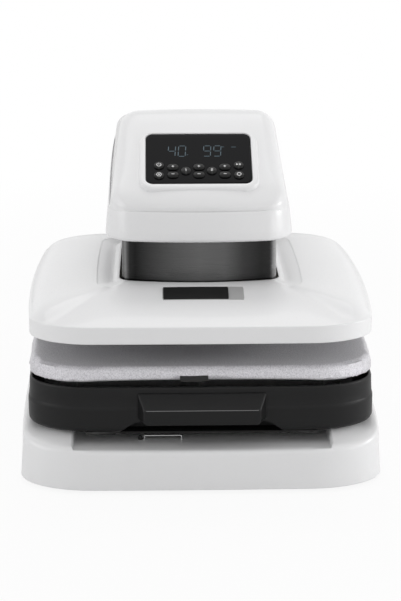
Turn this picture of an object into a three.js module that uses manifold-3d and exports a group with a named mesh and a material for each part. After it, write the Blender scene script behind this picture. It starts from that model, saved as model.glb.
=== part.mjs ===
import * as THREE from "three";
import { mergeVertices } from "three/addons/utils/BufferGeometryUtils.js";
import Module from "manifold-3d";

// Flat heat press with a motor-driven hot plate above a pull-out drawer.
// Millimetres, +Z up, front towards -Y, origin on the floor under the middle of the base.

const wasm = await Module();
wasm.setup();

// Clearances and common sizes
const seatGap = 0.3;
const overrun = 2;
const plasticWall = 3;
const degree = Math.PI / 180;

// Feet and base
const footHeight = 5.7;
const footRadius = 19;
const footRim = 2;
const footInset = 62;
const skirtBottom = 4;
const baseWidth = 444;
const baseDepth = 545;
const baseCorner = 56;
const baseCornerReach = 84;
const baseBow = 3;
const baseSideBow = 8;
const deckTop = 52;
const deckRound = 5;
const skirtLean = 3;
const railTop = 67;
const railInnerHalf = 152;
const railSetback = 12;
const railSideStep = 3;
const railLean = 4;
const railRound = 3;
const floorSlots = 10;
const floorSlotFront = 110;
const floorSlotPitch = 9;
const floorSlotLength = 130;
const floorSlotWidth = 4;
const bottomPlateThick = 1.5;
const bottomPlateLift = 2;
const baseBossRadius = 6;
const baseBossInset = 26;

// Drawer tray
const trayWidth = 422;
const trayFront = 20;
const trayRearGap = 10;
const trayBottom = 68;
const trayTop = 124;
const trayCrease = 102;
const trayFlare = 2;
const trayCorner = 52;
const trayCornerReach = 74;
const trayBow = 4;
const trayWall = 3;
const trayFloor = 4;
const trayFloorRound = 8;
const scoopHalf = 107;
const scoopTopHalf = 78;
const scoopHeight = 15;
const scoopDepth = 30;
const handleHalf = 68;
const handleFront = 2;
const handleBottom = 84;
const handleTop = 102.6;
const handleRootTop = 118.6;
const handleRound = 4;
const handleWall = 3;

// Lower plate, pad and cover
const lowerPlatenMargin = 18;
const lowerPlatenThick = 10;
const lowerPlatenCorner = 50;
const platenCorner = 36;
const ribThick = 4;
const ribShares = [-0.8, 0, 0.8];
const ribRunShare = 0.9;
const padMargin = 16;
const padThick = 7;
const padCorner = 52;
const coverWidth = 412;
const coverSetback = 6;
const coverTop = 148;
const coverEdge = 131;
const coverCrown = 2;
const coverDroop = 5;
const coverBulge = 3;
const coverCorner = 58;
const coverCornerReach = 76;
const coverBow = 5;
const coverThick = 1.8;
const coverSide = 3;
const coverShoulder = 8;
const coverMiddleShare = 0.42;
const coverTopShares = [0.12, 0.26];
const tagWidth = 33;
const tagHeight = 7;
const tagThick = 0.8;
const tagX = -7;
const tagDrop = 0.5;

// Press head on the ram: hood, hot plate and what ties them
const hoodWidth = 420;
const hoodRimBottom = 177;
const hoodRimTop = 198.3;
const hoodNeckTop = 223;
const hoodCorner = 50;
const hoodCornerReach = 70;
const hoodBow = 3;
const hoodSideBow = 12;
const hoodWall = 3;
const hoodRimRound = 3;
const hoodBossRadius = 7;
const hoodBossInset = 62;
const collarRise = 2.5;
const collarShares = [0.74, 0.79];
// Dome: shares of the way from rim to neck, and of the climb.
const domeProfileShares = [
  [0, 0], [0.03, 0.22], [0.08, 0.45], [0.14, 0.61], [0.2, 0.69], [0.35, 0.8], [0.55, 0.89], [0.74, 0.95], [0.9, 0.99], [1, 1],
];
const neckClearance = 3.5;
const platenMargin = 20;
const platenEndMargin = 15;
const platenBottom = 175.5;
const platenThick = 12;
const platenEdge = 1;
const heaterShares = [-0.75, -0.45, -0.15, 0.15, 0.45, 0.75];
const heaterRunShare = 0.86;
const heaterGroove = 4;
const insulationThick = 3;
const carrierSize = 160;
const carrierThick = 6;
const carrierCorner = 10;
const pressTravel = 27;

// Shroud between hood and head
const shroudWidth = 189;
const shroudDepth = 206;
const shroudCorner = 10;
const shroudBow = 14;
const shroudWall = 2;
const shroudLap = 4.5;

// Head
const headBottom = 274;
const headLead = 14;
const headOverhang = 3;
const headWidth = 231;
const headCorner = 34;
const headFrontBow = 13;
const headFloor = 2.5;
const headDraft = 4;
const headBottomRound = 4;
const headSeam = 0.8;
const coverInset = 4.5;
const headTop = 412;
const headEdgeRound = 26;
const coverLean = 12;
const partingFront = 311;
const partingRear = 335;
const noseHeight = 14;
const headNose = 12;
const noseStart = 0.35;
const slopeRise = 0.667;
const crestSoft = 16;
const headSideBow = 2;
const headCrown = 1.5;
const bowFadeShare = 0.4;
const edgeShare = 0.85;
const edgeSteps = 4;
const crownSteps = 3;
// Seam line: shares of the head's depth, and of the climb from its front to its rear.
const seamShares = [[0, 0], [0.12, 0.07], [0.23, 0.22], [0.36, 0.5], [0.486, 0.75], [0.65, 0.92], [0.81, 0.98], [1, 1]];
// Upright sections of the cover, as shares of the way from its nose to its rear.
const coverSectionShares = [
  0, 0.006, 0.015, 0.03, 0.05, 0.08, 0.15, 0.23, 0.295, 0.33, 0.365, 0.48, 0.68, 0.86, 0.93, 0.96, 0.98, 0.993, 1,
];
const coverInnerShares = [0, 0.01, 0.03, 0.08, 0.15, 0.23, 0.3, 0.33, 0.365, 0.48, 0.68, 0.93, 0.97, 1];
const coverEndWall = 6;
const crestShare = 0.335;
const rearFall = 78;
const rearRound = 18;

// Column behind the hood
const columnWidth = 200;
const columnDepth = 77;
const columnInset = 8;
const columnCorner = 22;
const ventCount = 9;
const ventWidth = 5;
const ventPitch = 14;
const ventHeight = 60;
const ventLift = 70;

// Control panel
const panelTilt = 32.6 * degree;
const panelWidth = 130.4;
const panelHeight = 82.5;
const panelCorner = 9;
const panelThick = 2.4;
const panelSetback = 34.3;
const panelLowZ = 342.5;
const bezelWidth = 4;
const bezelFlare = 1.5;
const bezelDepth = 7;
const bezelEdge = 1;
const panelSeatWidth = 2.5;
const boardThick = 1.6;
const boardGap = 7;
const boardInset = 6;
const panelPostRadius = 2.5;
const panelPostInset = 7.5;
const buttonRise = 2.2;
const buttonTravel = 0.8;
const buttonGap = 0.4;
const buttonRadius = 6.2;
const halfButtonWidth = 13.9;
const halfButtonHeight = 10.2;
const buttonFlange = 1;
const buttonFlangeThick = 1.2;
const buttonEdge = 0.9;
const switchSize = 5;
const buttonArcs = 3;
const displayWidth = 92;
const displayHeight = 24;
const displayDrop = 31;
const outerColumn = 48.6;
const middleColumn = 31.6;
const modeColumn = 15.8;
const upperRoundRow = 27.3;
const lowerRoundRow = 10.3;
const upperHalfRow = 24.4;
const lowerHalfRow = 11;
const modeRow = 18;

// Frame and drive
const frameHalf = 80;
const frameThick = 6;
const frameRearInset = 16;
const frameBackDepth = 50;
const frameArmLead = 85;
const frameArmHeight = 48;
const frameFoot = 60;
const frameTopThick = 10;
const frameBedThick = 12;
const frameCorner = 6;
const frameTipCut = 20;
const frameTopDepth = 240;
const gearboxWidth = 70;
const gearboxDepth = 74;
const gearboxHeight = 58;
const gearboxRound = 8;
const motorRadius = 28;
const motorLength = 112;
const motorCapLength = 12;
const motorCapStep = 3;
const motorSides = 36;
const screwRadius = 6;
const screwTop = 306;
const screwBottom = 205;
const screwPitch = 4;
const screwBoreGap = 0.5;
const ramRadius = 15;
const ramWall = 4;
const ramTop = 258;
const ramFlange = 26;
const ramFlangeThick = 4;
const nutFlange = 20;
const nutFlangeThick = 5;
const nutLength = 18;
const guideRadius = 8;
const guideSpread = 58;
const guideTop = 342;
const bushWall = 5;
const bushLength = 34;
const bushFlange = 5;
const bushFlangeThick = 3;
const guideGap = 0.1;
const guideChamfer = 1;
const screwThread = 0.8;
const screwJournal = 18;
const screwSides = 10;
const frameScrewGap = 3;
const frameTopLead = 75;
const frameBedFront = 70;
const frameBedRearGap = 25;
const frameBedRibShares = [-0.9, -0.3, 0.3, 0.9];
const frameWindowShares = [0.15, 0.45, 0.75];
const frameWindowWidthShare = 0.45;
const frameWindowHeight = 34;
const motorLift = 2;

// Drawer slides
const slideInset = 20;
const slideShort = 60;
const slideSheet = 1.5;
const slideLip = 4;
const slideRunGap = 0.5;
const slideTab = 12;
const slideFootReach = 8;

// Rear power entry, limit switch, catch and board
const entryX = -6;
const entryWidth = 132;
const entryHeight = 32;
const entryDepth = 6;
const entryBlock = 16;
const inletWidth = 27;
const inletHeight = 20;
const inletFlangeWidth = 50;
const inletFlangeHeight = 24;
const inletFlangeThick = 2.5;
const inletBodyDepth = 22;
const inletSocketDepth = 18;
const inletWall = 1.5;
const inletX = -34;
const inletBlade = 2;
const inletBladeLong = 4.5;
const inletBladeSpread = 7;
const inletBladeRise = 4;
const bladeShare = 0.7;
const switchX = 32;
const rockerWidth = 19;
const rockerHeight = 13;
const rockerWall = 2;
const rockerDepth = 14;
const rockerCrown = 3.2;
const rockerSink = 6;
const rockerEndGap = 1.1;
const rockerValley = 4;
const rockerSkirt = 5;
const rockerLowShare = 0.6;
const rockerRootShare = 0.6;
const catchWidth = 46;
const catchHeight = 6;
const catchWire = 1.6;
const catchX = -46;
const catchY = 44;
const limitWidth = 20;
const limitHeight = 11;
const limitDepth = 7;
const powerBoardWidth = 120;
const powerBoardDepth = 90;
const powerBoardInset = 30;
const powerBoardLift = 5;
const boardPostShare = 0.44;
// Parts on the board: centre across and along, width, depth and height as shares of its sides.
const powerPartShares = [[-0.3, 0.2, 0.2, 0.3, 0.28], [0.02, 0.22, 0.16, 0.24, 0.2], [0.3, -0.1, 0.22, 0.34, 0.24], [-0.12, -0.26, 0.3, 0.14, 0.14]];
const leverShare = 0.9;

// Resolution of the curved outlines
const cornerSteps = 5;
const sideSteps = 3;
const roundSteps = 16;
const bossSteps = 12;
const catchSteps = 12;
const catchSides = 3;
const leanShare = 0.6;
const roundShare = 0.7;
const cornerKeepShare = 0.2;
const weldTolerance = 1e-4;

// Sizes and places worked out from the sizes above
const columnFront = baseDepth - columnInset - columnDepth;
const frameRear = columnFront + columnDepth - frameRearInset;
const trayDepth = columnFront - trayRearGap - trayFront;
const hoodDepth = trayDepth;
const pressCentre = trayFront + hoodDepth / 2;
const coverDepth = trayDepth - 2 * coverSetback;
const lowerPlatenWidth = coverWidth - 2 * lowerPlatenMargin;
const lowerPlatenDepth = coverDepth - 2 * lowerPlatenMargin;
const padWidth = coverWidth - 2 * padMargin;
const padDepth = coverDepth - 2 * padMargin;
const platenWidth = hoodWidth - 2 * platenMargin;
const platenDepth = hoodDepth - 2 * platenEndMargin;
const shroudBottom = hoodNeckTop - pressTravel - shroudLap;
const headFront = pressCentre - shroudDepth / 2 - headLead;
const headDepth = columnFront + columnDepth + headOverhang - headFront;
const panelLowY = headFront + panelSetback;
const frameArmFront = pressCentre - frameArmLead;
const slideFront = trayFront + slideInset;
const slideLength = trayDepth - slideShort;
const powerBoardFront = baseDepth - powerBoardInset - powerBoardDepth;
const frameBedDepth = powerBoardFront - frameBedRearGap - frameBedFront;
const frontY = -baseDepth / 2;
const fromFront = (distance) => frontY + distance;
const pressY = fromFront(pressCentre);
const shroudHalfX = shroudWidth / 2;
const shroudHalfY = shroudDepth / 2;
const platenTop = platenBottom + platenThick;
const insulationTop = platenTop + insulationThick;
const carrierBottom = insulationTop + seatGap;
const carrierTop = carrierBottom + carrierThick;
const bottomPlateBottom = skirtBottom + bottomPlateLift;
const bottomPlateTop = bottomPlateBottom + bottomPlateThick;
const deckUnder = deckTop - plasticWall;
const headFloorTop = headBottom + headFloor;
const frameTopBottom = headFloorTop + seatGap;
const frameTopTop = frameTopBottom + frameTopThick;

// Outline and loft helpers

// Points around a rectangle with bowed sides, seen from above. Its corners are corner deep and reach wide.
function outline(shape, arcs = cornerSteps, sides = sideSteps) {
  const { halfX, halfY, corner, reach = corner, bowX = 0, bowFront = 0, bowRear = 0 } = shape;
  const flatX = halfX - bowX;
  const signs = [[1, 1], [-1, 1], [-1, -1], [1, -1]];
  const flats = signs.map(([, signY]) => halfY - (signY > 0 ? bowRear : bowFront));
  const points = [];
  const corners = signs.map(([signX, signY], quarter) => {
    const centre = [signX * (flatX - reach), signY * (flats[quarter] - corner)];
    return Array.from({ length: arcs + 1 }, (unused, step) => {
      const angle = (quarter + step / arcs) * 90 * degree;
      return [centre[0] + reach * Math.cos(angle), centre[1] + corner * Math.sin(angle)];
    });
  });
  corners.forEach((arc, quarter) => {
    const last = arc[arcs];
    const next = corners[(quarter + 1) % corners.length][0];
    points.push(...arc);
    for (let step = 1; step < sides; step += 1) {
      const share = step / sides;
      points.push([last[0] + (next[0] - last[0]) * share, last[1] + (next[1] - last[1]) * share]);
    }
  });
  return points.map(([x, y]) => {
    const flatY = halfY - (y > 0 ? bowRear : bowFront);
    const bowY = y > 0 ? bowRear : bowFront;
    const outX = bowX * (1 - (y / flatY) ** 2) * (x / flatX);
    const outY = bowY * (1 - (x / flatX) ** 2) * (y / flatY);
    return [x + outX, y + outY];
  });
}

// The same outline drawn in by a distance; its corners stay at least slightly round.
function inset(shape, distance) {
  return {
    ...shape,
    halfX: shape.halfX - distance,
    halfY: shape.halfY - distance,
    corner: Math.max(shape.corner - distance, shape.corner * cornerKeepShare),
    reach: Math.max((shape.reach ?? shape.corner) - distance, shape.corner * cornerKeepShare),
  };
}

function blendShapes(first, second, share) {
  const mixed = {};
  const sizes = [first, second].map((shape) => ({ reach: shape.corner, bowX: 0, bowFront: 0, bowRear: 0, ...shape }));
  for (const key of Object.keys(sizes[0])) {
    mixed[key] = sizes[0][key] * (1 - share) + sizes[1][key] * share;
  }
  return mixed;
}

// A ring in space: the height is a number or a rule of x and y.
function ring(shape, y, z, arcs, sides) {
  return outline(shape, arcs, sides).map(([px, py]) => {
    const height = typeof z === "function" ? z(px, y + py) : z;
    return new THREE.Vector3(px, y + py, height);
  });
}

// Skin over rings with equal counts; a looped skin returns to its first ring, others get end caps.
function skin(rings, looped = false) {
  const count = rings[0].length;
  const positions = rings.flat().flatMap((point) => point.toArray());
  const faces = [];
  const bands = looped ? rings.length : rings.length - 1;
  for (let band = 0; band < bands; band += 1) {
    const low = band * count;
    const high = ((band + 1) % rings.length) * count;
    for (let step = 0; step < count; step += 1) {
      const next = (step + 1) % count;
      faces.push(low + step, low + next, high + next);
      faces.push(low + step, high + next, high + step);
    }
  }
  if (!looped) {
    for (const [cap, outward] of [[0, false], [rings.length - 1, true]]) {
      const middle = rings[cap].reduce((sum, point) => sum.add(point), new THREE.Vector3());
      const centre = positions.length / 3;
      positions.push(...middle.divideScalar(count).toArray());
      for (let step = 0; step < count; step += 1) {
        const here = cap * count + step;
        const next = cap * count + ((step + 1) % count);
        faces.push(...(outward ? [here, next, centre] : [next, here, centre]));
      }
    }
  }
  const geometry = new THREE.BufferGeometry();
  geometry.setAttribute("position", new THREE.Float32BufferAttribute(positions, 3));
  geometry.setIndex(faces);
  return geometry;
}

// A moulded body: pairs of inset and height from its lowest ring to its highest.
function moulded(shape, y, profile, arcs, sides) {
  return skin(profile.map(([drawn, z]) => ring(inset(shape, drawn), y, z, arcs, sides)));
}

function prism(shape, y, low, high, arcs, sides) {
  return moulded(shape, y, [[0, low], [0, high]], arcs, sides);
}

function block(sizeX, sizeY, sizeZ, x, y, bottom) {
  return new THREE.BoxGeometry(sizeX, sizeY, sizeZ).translate(x, y, bottom + sizeZ / 2);
}

function rod(radius, length, x, y, bottom, steps = roundSteps) {
  const geometry = new THREE.CylinderGeometry(radius, radius, length, steps);
  return geometry.rotateX(90 * degree).translate(x, y, bottom + length / 2);
}

// A body of revolution about a vertical axis from radius and height pairs.
function turned(profile, x, y, steps = roundSteps) {
  const points = profile.map(([radius, z]) => new THREE.Vector2(radius, z));
  return new THREE.LatheGeometry(points, steps).rotateX(90 * degree).translate(x, y, 0);
}

// A shape drawn in Y and Z, given thickness from one X to another.
function sideCut(points, lowX, highX) {
  const shape = new THREE.Shape(points.map(([y, z]) => new THREE.Vector2(y, z)));
  const geometry = new THREE.ExtrudeGeometry(shape, { depth: highX - lowX, bevelEnabled: false });
  const turn = new THREE.Matrix4().makeBasis(
    new THREE.Vector3(0, 1, 0), new THREE.Vector3(0, 0, 1), new THREE.Vector3(1, 0, 0));
  return geometry.applyMatrix4(turn).translate(lowX, 0, 0);
}

// A shape drawn in X and Z, run from one Y to another.
function frontCut(points, lowY, highY) {
  const shape = new THREE.Shape(points.map(([x, z]) => new THREE.Vector2(x, z)));
  const geometry = new THREE.ExtrudeGeometry(shape, { depth: highY - lowY, bevelEnabled: false });
  return geometry.rotateX(90 * degree).translate(0, highY, 0);
}

function solidOf(geometry) {
  const bare = geometry.clone();
  bare.deleteAttribute("normal");
  bare.deleteAttribute("uv");
  const merged = mergeVertices(bare, weldTolerance);
  const vertProperties = new Float32Array(merged.attributes.position.array);
  const triVerts = new Uint32Array(merged.index.array);
  return new wasm.Manifold(new wasm.Mesh({ numProp: 3, vertProperties, triVerts }));
}

function geometryOf(solid) {
  const mesh = solid.getMesh();
  const geometry = new THREE.BufferGeometry();
  geometry.setAttribute("position", new THREE.Float32BufferAttribute(mesh.vertProperties, 3));
  geometry.setIndex(Array.from(mesh.triVerts));
  return geometry;
}

function cut(body, ...tools) {
  const left = tools.reduce((rest, tool) => rest.subtract(solidOf(tool)), solidOf(body));
  return geometryOf(left);
}

function join(...bodies) {
  const [first, ...others] = bodies.map(solidOf);
  return geometryOf(others.reduce((sum, body) => sum.add(body), first));
}

function common(first, second) {
  return geometryOf(solidOf(first).intersect(solidOf(second)));
}

// Finishes

function finish(color, roughness, metalness = 0) {
  return new THREE.MeshStandardMaterial({ color, roughness, metalness });
}

const whitePlastic = () => finish(0xe9e9ea, 0.35);
const blackPlastic = () => finish(0x262727, 0.55);
const blackGloss = () => finish(0x1b1b1e, 0.15);
const buttonPlastic = () => finish(0x3a3a3c, 0.45);
const darkSteel = () => finish(0x565656, 0.3, 0.9);
const zincSteel = () => finish(0xa9abae, 0.4, 0.9);
const aluminium = () => finish(0xb9bbbd, 0.35, 0.9);
const bronze = () => finish(0xb08d4a, 0.4, 0.9);
const rubber = () => finish(0x1d1d1d, 0.9);
const silverCloth = () => finish(0xb6b5bb, 0.6);
const foam = () => finish(0xd9d2b8, 0.95);
const boardGreen = () => finish(0x20603a, 0.6);

const press = new THREE.Group();

function add(name, geometry, material, holder = press) {
  const mesh = new THREE.Mesh(geometry, material);
  mesh.name = name;
  holder.add(mesh);
  return mesh;
}

const sides = [["left", -1], ["right", 1]];

// Base shell: a skirt, a deck and two rails that flank the drawer slides
const baseShape = {
  halfX: baseWidth / 2,
  halfY: baseDepth / 2,
  corner: baseCorner,
  reach: baseCornerReach,
  bowX: baseSideBow,
  bowFront: baseBow,
  bowRear: baseBow,
};
const railShape = {
  ...baseShape,
  halfX: baseShape.halfX - railSideStep,
  halfY: baseShape.halfY - railSetback,
  corner: baseCorner - railSideStep,
  reach: baseCornerReach - railSideStep,
};
const columnY = fromFront(columnFront + columnDepth / 2);
const columnShape = { halfX: columnWidth / 2, halfY: columnDepth / 2, corner: columnCorner };
const columnInside = inset(columnShape, plasticWall);
const entryY = baseDepth / 2 - entryDepth;
const entryMiddle = (skirtBottom + deckTop) / 2;

// Slots for the frame plates through the deck, inside the column's foot.
function columnWell(low, high) {
  return prism(columnInside, columnY, low, high);
}

function buildBaseShell() {
  const skirt = moulded(baseShape, 0, [
    [0, skirtBottom],
    [skirtLean * leanShare, deckTop - deckRound],
    [skirtLean * leanShare + deckRound * (1 - roundShare), deckTop - deckRound * (1 - roundShare)],
    [skirtLean + deckRound, deckTop],
  ]);
  const rails = moulded(railShape, 0, [
    [0, deckTop - overrun],
    [railLean * leanShare, railTop - railRound],
    [railLean * leanShare + railRound * (1 - roundShare), railTop - railRound * (1 - roundShare)],
    [railLean + railRound, railTop],
  ]);
  const lane = frontCut([
    [-railInnerHalf, deckTop], [railInnerHalf, deckTop],
    [railInnerHalf, railTop + overrun], [-railInnerHalf, railTop + overrun],
  ], -baseDepth, baseDepth);
  const hollow = moulded(inset(baseShape, plasticWall), 0, [
    [0, skirtBottom - overrun],
    [skirtLean * leanShare, deckUnder - deckRound],
    [skirtLean + deckRound, deckUnder],
  ]);
  const bosses = [];
  for (const [, side] of sides) {
    for (const end of [-1, 1]) {
      const x = side * (baseWidth / 2 - baseBossInset);
      const y = end * (baseDepth / 2 - footInset);
      bosses.push(rod(baseBossRadius, deckUnder + overrun / 2 - bottomPlateTop - seatGap, x, y, bottomPlateTop + seatGap));
    }
  }
  const entryBack = block(entryWidth + 2 * plasticWall, entryBlock, deckUnder + overrun / 2 - bottomPlateTop - seatGap,
    entryX, entryY - entryBlock / 2, bottomPlateTop + seatGap);
  const shell = cut(join(skirt, cut(rails, lane)), hollow);
  return cut(
    join(shell, ...bosses, entryBack),
    columnWell(deckUnder - overrun, railTop + overrun),
    block(entryWidth, entryDepth + overrun, entryHeight, entryX, entryY + (entryDepth + overrun) / 2,
      entryMiddle - entryHeight / 2),
    block(inletWidth + 2 * seatGap, entryBlock * 2 + overrun, inletHeight + 2 * seatGap, inletX, entryY,
      entryMiddle - inletHeight / 2 - seatGap),
    block(rockerWidth + 2 * (rockerWall + seatGap), entryBlock * 2 + overrun,
      rockerHeight + 2 * (rockerWall + seatGap), switchX, entryY, entryMiddle - rockerHeight / 2 - rockerWall - seatGap),
  );
}

function buildBottomPlate() {
  const plate = prism(inset(baseShape, plasticWall + seatGap), 0, bottomPlateBottom, bottomPlateTop);
  const slots = [];
  for (let index = 0; index < floorSlots; index += 1) {
    const y = fromFront(floorSlotFront) + index * floorSlotPitch;
    slots.push(block(floorSlotLength, floorSlotWidth, bottomPlateThick + 2 * overrun, 0, y, bottomPlateBottom - overrun));
  }
  return cut(plate, ...slots);
}

function buildFoot(x, y) {
  return turned([
    [0, 0], [footRadius - footRim, 0], [footRadius, footRim], [footRadius - footRim / 2, footHeight], [0, footHeight],
  ], x, y);
}

add("base_shell", buildBaseShell(), whitePlastic());
add("bottom_plate", buildBottomPlate(), zincSteel());
for (const [end, along] of [["front", -1], ["rear", 1]]) {
  for (const [name, side] of sides) {
    const foot = buildFoot(side * (baseWidth / 2 - footInset), along * (baseDepth / 2 - footInset));
    add(`foot_${end}_${name}`, foot, rubber());
  }
}

// Catch: a bent wire on the deck that the drawer's latch drops behind
function buildCatch() {
  const half = catchWidth / 2 - catchWire / 2;
  const low = deckTop + seatGap;
  const high = deckTop + catchHeight - catchWire / 2;
  const bend = catchWire;
  const path = new THREE.CurvePath();
  const corners = [
    new THREE.Vector3(-half, 0, low), new THREE.Vector3(-half, 0, high - bend), new THREE.Vector3(-half, 0, high),
    new THREE.Vector3(-half + bend, 0, high), new THREE.Vector3(half - bend, 0, high),
    new THREE.Vector3(half, 0, high), new THREE.Vector3(half, 0, high - bend), new THREE.Vector3(half, 0, low),
  ];
  path.add(new THREE.LineCurve3(corners[0], corners[1]));
  path.add(new THREE.QuadraticBezierCurve3(corners[1], corners[2], corners[3]));
  path.add(new THREE.LineCurve3(corners[3], corners[4]));
  path.add(new THREE.QuadraticBezierCurve3(corners[4], corners[5], corners[6]));
  path.add(new THREE.LineCurve3(corners[6], corners[7]));
  const section = new THREE.Shape().absarc(0, 0, catchWire / 2, 0, 2 * Math.PI);
  return new THREE.ExtrudeGeometry(section, { steps: catchSteps, extrudePath: path, curveSegments: catchSides });
}

const catchMesh = add("catch_staple", buildCatch(), darkSteel());
catchMesh.position.set(catchX, fromFront(catchY), 0);

// Drawer slides: sheet channels nested in each other, one set on each side
const slideX = railInnerHalf - seatGap;
const slideMiddle = fromFront(slideFront + slideLength / 2);
const slideStep = slideSheet + slideRunGap;

// A channel section that opens inwards, drawn for the right side.
function channel(face, low, high) {
  const inner = face - slideSheet;
  const lip = face - slideSheet - slideLip;
  return [
    [face, low], [face, high], [lip, high], [lip, high - slideSheet],
    [inner, high - slideSheet], [inner, low + slideSheet], [lip, low + slideSheet], [lip, low],
  ];
}

// The inner member has a web that runs in the channel, a foot, a riser and a tab under the tray.
function innerMember(face, low, high) {
  const web = face - slideSheet;
  const riser = face - slideSheet - slideLip - slideFootReach;
  const tab = riser - slideTab;
  const top = trayBottom - seatGap;
  return [
    [face, low], [face, high], [web, high], [web, low + slideSheet], [riser, low + slideSheet],
    [riser, top], [tab, top], [tab, top - slideSheet], [riser - slideSheet, top - slideSheet], [riser - slideSheet, low],
  ];
}

for (const [name, side] of sides) {
  const run = (section) => {
    const points = section.map(([x, z]) => [side * x, z]);
    return frontCut(points, slideMiddle - slideLength / 2, slideMiddle + slideLength / 2);
  };
  const low = deckTop + seatGap;
  const high = railTop - slideRunGap;
  add(`slide_outer_${name}`, run(channel(slideX, low, high)), zincSteel());
  add(`slide_mid_${name}`, run(channel(slideX - slideStep, low + slideStep, high - slideStep)), zincSteel());
  const member = innerMember(slideX - 2 * slideStep, low + 2 * slideStep, high - 2 * slideStep);
  add(`slide_inner_${name}`, run(member), zincSteel());
}

// Drawer tray with a finger scoop under the handle
const trayShape = {
  halfX: trayWidth / 2,
  halfY: trayDepth / 2,
  corner: trayCorner,
  reach: trayCornerReach,
  bowX: trayBow,
  bowFront: trayBow,
  bowRear: trayBow,
};
const trayY = fromFront(trayFront + trayDepth / 2);
const trayFace = fromFront(trayFront);

function scoopShape(extra, low) {
  return [
    [-scoopHalf - extra, low], [scoopHalf + extra, low],
    [scoopTopHalf + extra, trayBottom + scoopHeight + extra],
    [-scoopTopHalf - extra, trayBottom + scoopHeight + extra],
  ];
}

function buildTray() {
  const outside = moulded(trayShape, trayY, [
    [trayFloorRound, trayBottom],
    [trayFloorRound * (1 - roundShare), trayBottom + trayFloorRound * (1 - roundShare)],
    [0, trayBottom + trayFloorRound],
    [0, trayCrease],
    [trayFlare, trayTop - trayWall / 2],
    [trayFlare + trayWall / 2, trayTop],
  ]);
  const inside = moulded(inset(trayShape, trayWall), trayY, [
    [trayFloorRound, trayBottom + trayFloor],
    [0, trayBottom + trayFloor + trayFloorRound],
    [0, trayCrease],
    [trayFlare, trayTop],
    [trayFlare, trayTop + overrun],
  ]);
  const scoopBack = trayFace + scoopDepth;
  const hump = frontCut(scoopShape(trayWall, trayBottom + trayFloor / 2), trayFace + trayBow + trayWall, scoopBack + trayWall);
  const scoop = frontCut(scoopShape(0, trayBottom - overrun), trayFace - overrun, scoopBack);
  return cut(join(cut(outside, inside), hump), scoop);
}

// Handle: a hollow lip that stands in front of the scoop, open underneath for the fingers
function buildHandle() {
  const tip = fromFront(handleFront);
  const root = trayFace + trayBow - seatGap;
  const outer = [
    [root, handleBottom], [tip + handleRound / 2, handleBottom], [tip, handleBottom + handleRound / 2],
    [tip, handleTop - handleRound / 2], [tip + handleRound / 2, handleTop],
    [trayFace - handleRound, handleRootTop - handleRound], [root, handleRootTop],
  ];
  const inner = [
    [root - handleWall, handleBottom - overrun], [tip + handleWall, handleBottom - overrun],
    [tip + handleWall, handleTop - handleWall], [trayFace, handleRootTop - handleWall - handleRound],
    [root - handleWall, handleRootTop - handleWall - handleRound],
  ];
  const lip = sideCut(outer, -handleHalf, handleHalf);
  const hollow = sideCut(inner, -handleHalf + handleWall, handleHalf - handleWall);
  const trayGap = moulded(trayShape, trayY, [
    [-seatGap, handleBottom - overrun],
    [-seatGap, trayCrease],
    [trayFlare - seatGap, trayTop],
    [trayFlare, trayTop + overrun],
  ]);
  return cut(lip, hollow, trayGap);
}

add("drawer_tray", buildTray(), blackPlastic());
add("drawer_handle", buildHandle(), blackPlastic());

// Lower plate on ribs, with the foam pad and its cloth cover
const ribBottom = trayBottom + trayFloor + seatGap;
const coverInner = coverTop - coverThick;
const padTop = coverInner - coverCrown - seatGap;
const padBottom = padTop - padThick;
const lowerTop = padBottom - seatGap;
const lowerBottom = lowerTop - lowerPlatenThick;

function plateShape(width, depth, corner) {
  return { halfX: width / 2, halfY: depth / 2, corner };
}

function buildLowerPlaten() {
  const plate = prism(plateShape(lowerPlatenWidth, lowerPlatenDepth, lowerPlatenCorner), pressY, lowerBottom, lowerTop);
  const ribs = [];
  for (const share of ribShares) {
    const height = lowerBottom + overrun / 2 - ribBottom;
    const across = share * lowerPlatenWidth / 2;
    const along = share * lowerPlatenDepth / 2;
    ribs.push(block(ribThick, lowerPlatenDepth * ribRunShare, height, across, pressY, ribBottom));
    ribs.push(block(lowerPlatenWidth * ribRunShare, ribThick, height, 0, pressY + along, ribBottom));
  }
  return join(plate, ...ribs);
}

// The cover's height over the plate: highest in the middle and falling to a soft rim.
function crownHeight(level) {
  return (x, y) => {
    const across = (2 * x / coverWidth) ** 2;
    const along = (2 * (y - pressY) / coverDepth) ** 2;
    return level - coverCrown * Math.min(1, (across + along) / 2);
  };
}

// The lower hem hangs lower in the corners than along the sides.
function hemHeight(level) {
  return (x, y) => {
    const across = (2 * x / coverWidth) ** 2;
    const along = (2 * (y - pressY) / coverDepth) ** 2;
    return level - coverDroop * Math.min(across, along);
  };
}

function buildPadCover() {
  const shape = {
    halfX: coverWidth / 2,
    halfY: coverDepth / 2,
    corner: coverCorner,
    reach: coverCornerReach,
    bowX: coverBow,
    bowFront: coverBow,
    bowRear: coverBow,
  };
  const around = (drawn, z) => ring(inset(shape, drawn), pressY, z);
  const middle = (coverEdge + coverTop) / 2;
  return skin([
    around(coverWidth * coverMiddleShare, crownHeight(coverInner)),
    around(coverBulge + coverSide, crownHeight(coverInner)),
    around(coverBulge + coverSide, hemHeight(coverEdge)),
    around(coverBulge, hemHeight(coverEdge)),
    around(0, hemHeight(middle - coverBulge)),
    around(0, middle + coverBulge / 2),
    around(coverBulge, crownHeight(coverTop - coverShoulder * (1 - roundShare))),
    around(coverBulge + coverShoulder, crownHeight(coverTop)),
    around(coverWidth * coverTopShares[0], crownHeight(coverTop)),
    around(coverWidth * coverTopShares[1], crownHeight(coverTop)),
    around(coverWidth * coverMiddleShare, crownHeight(coverTop)),
  ]);
}

function buildTag() {
  const face = pressY - coverDepth / 2 - seatGap;
  return block(tagWidth, tagThick, tagHeight, tagX, face - tagThick / 2, coverEdge - tagDrop);
}

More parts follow.
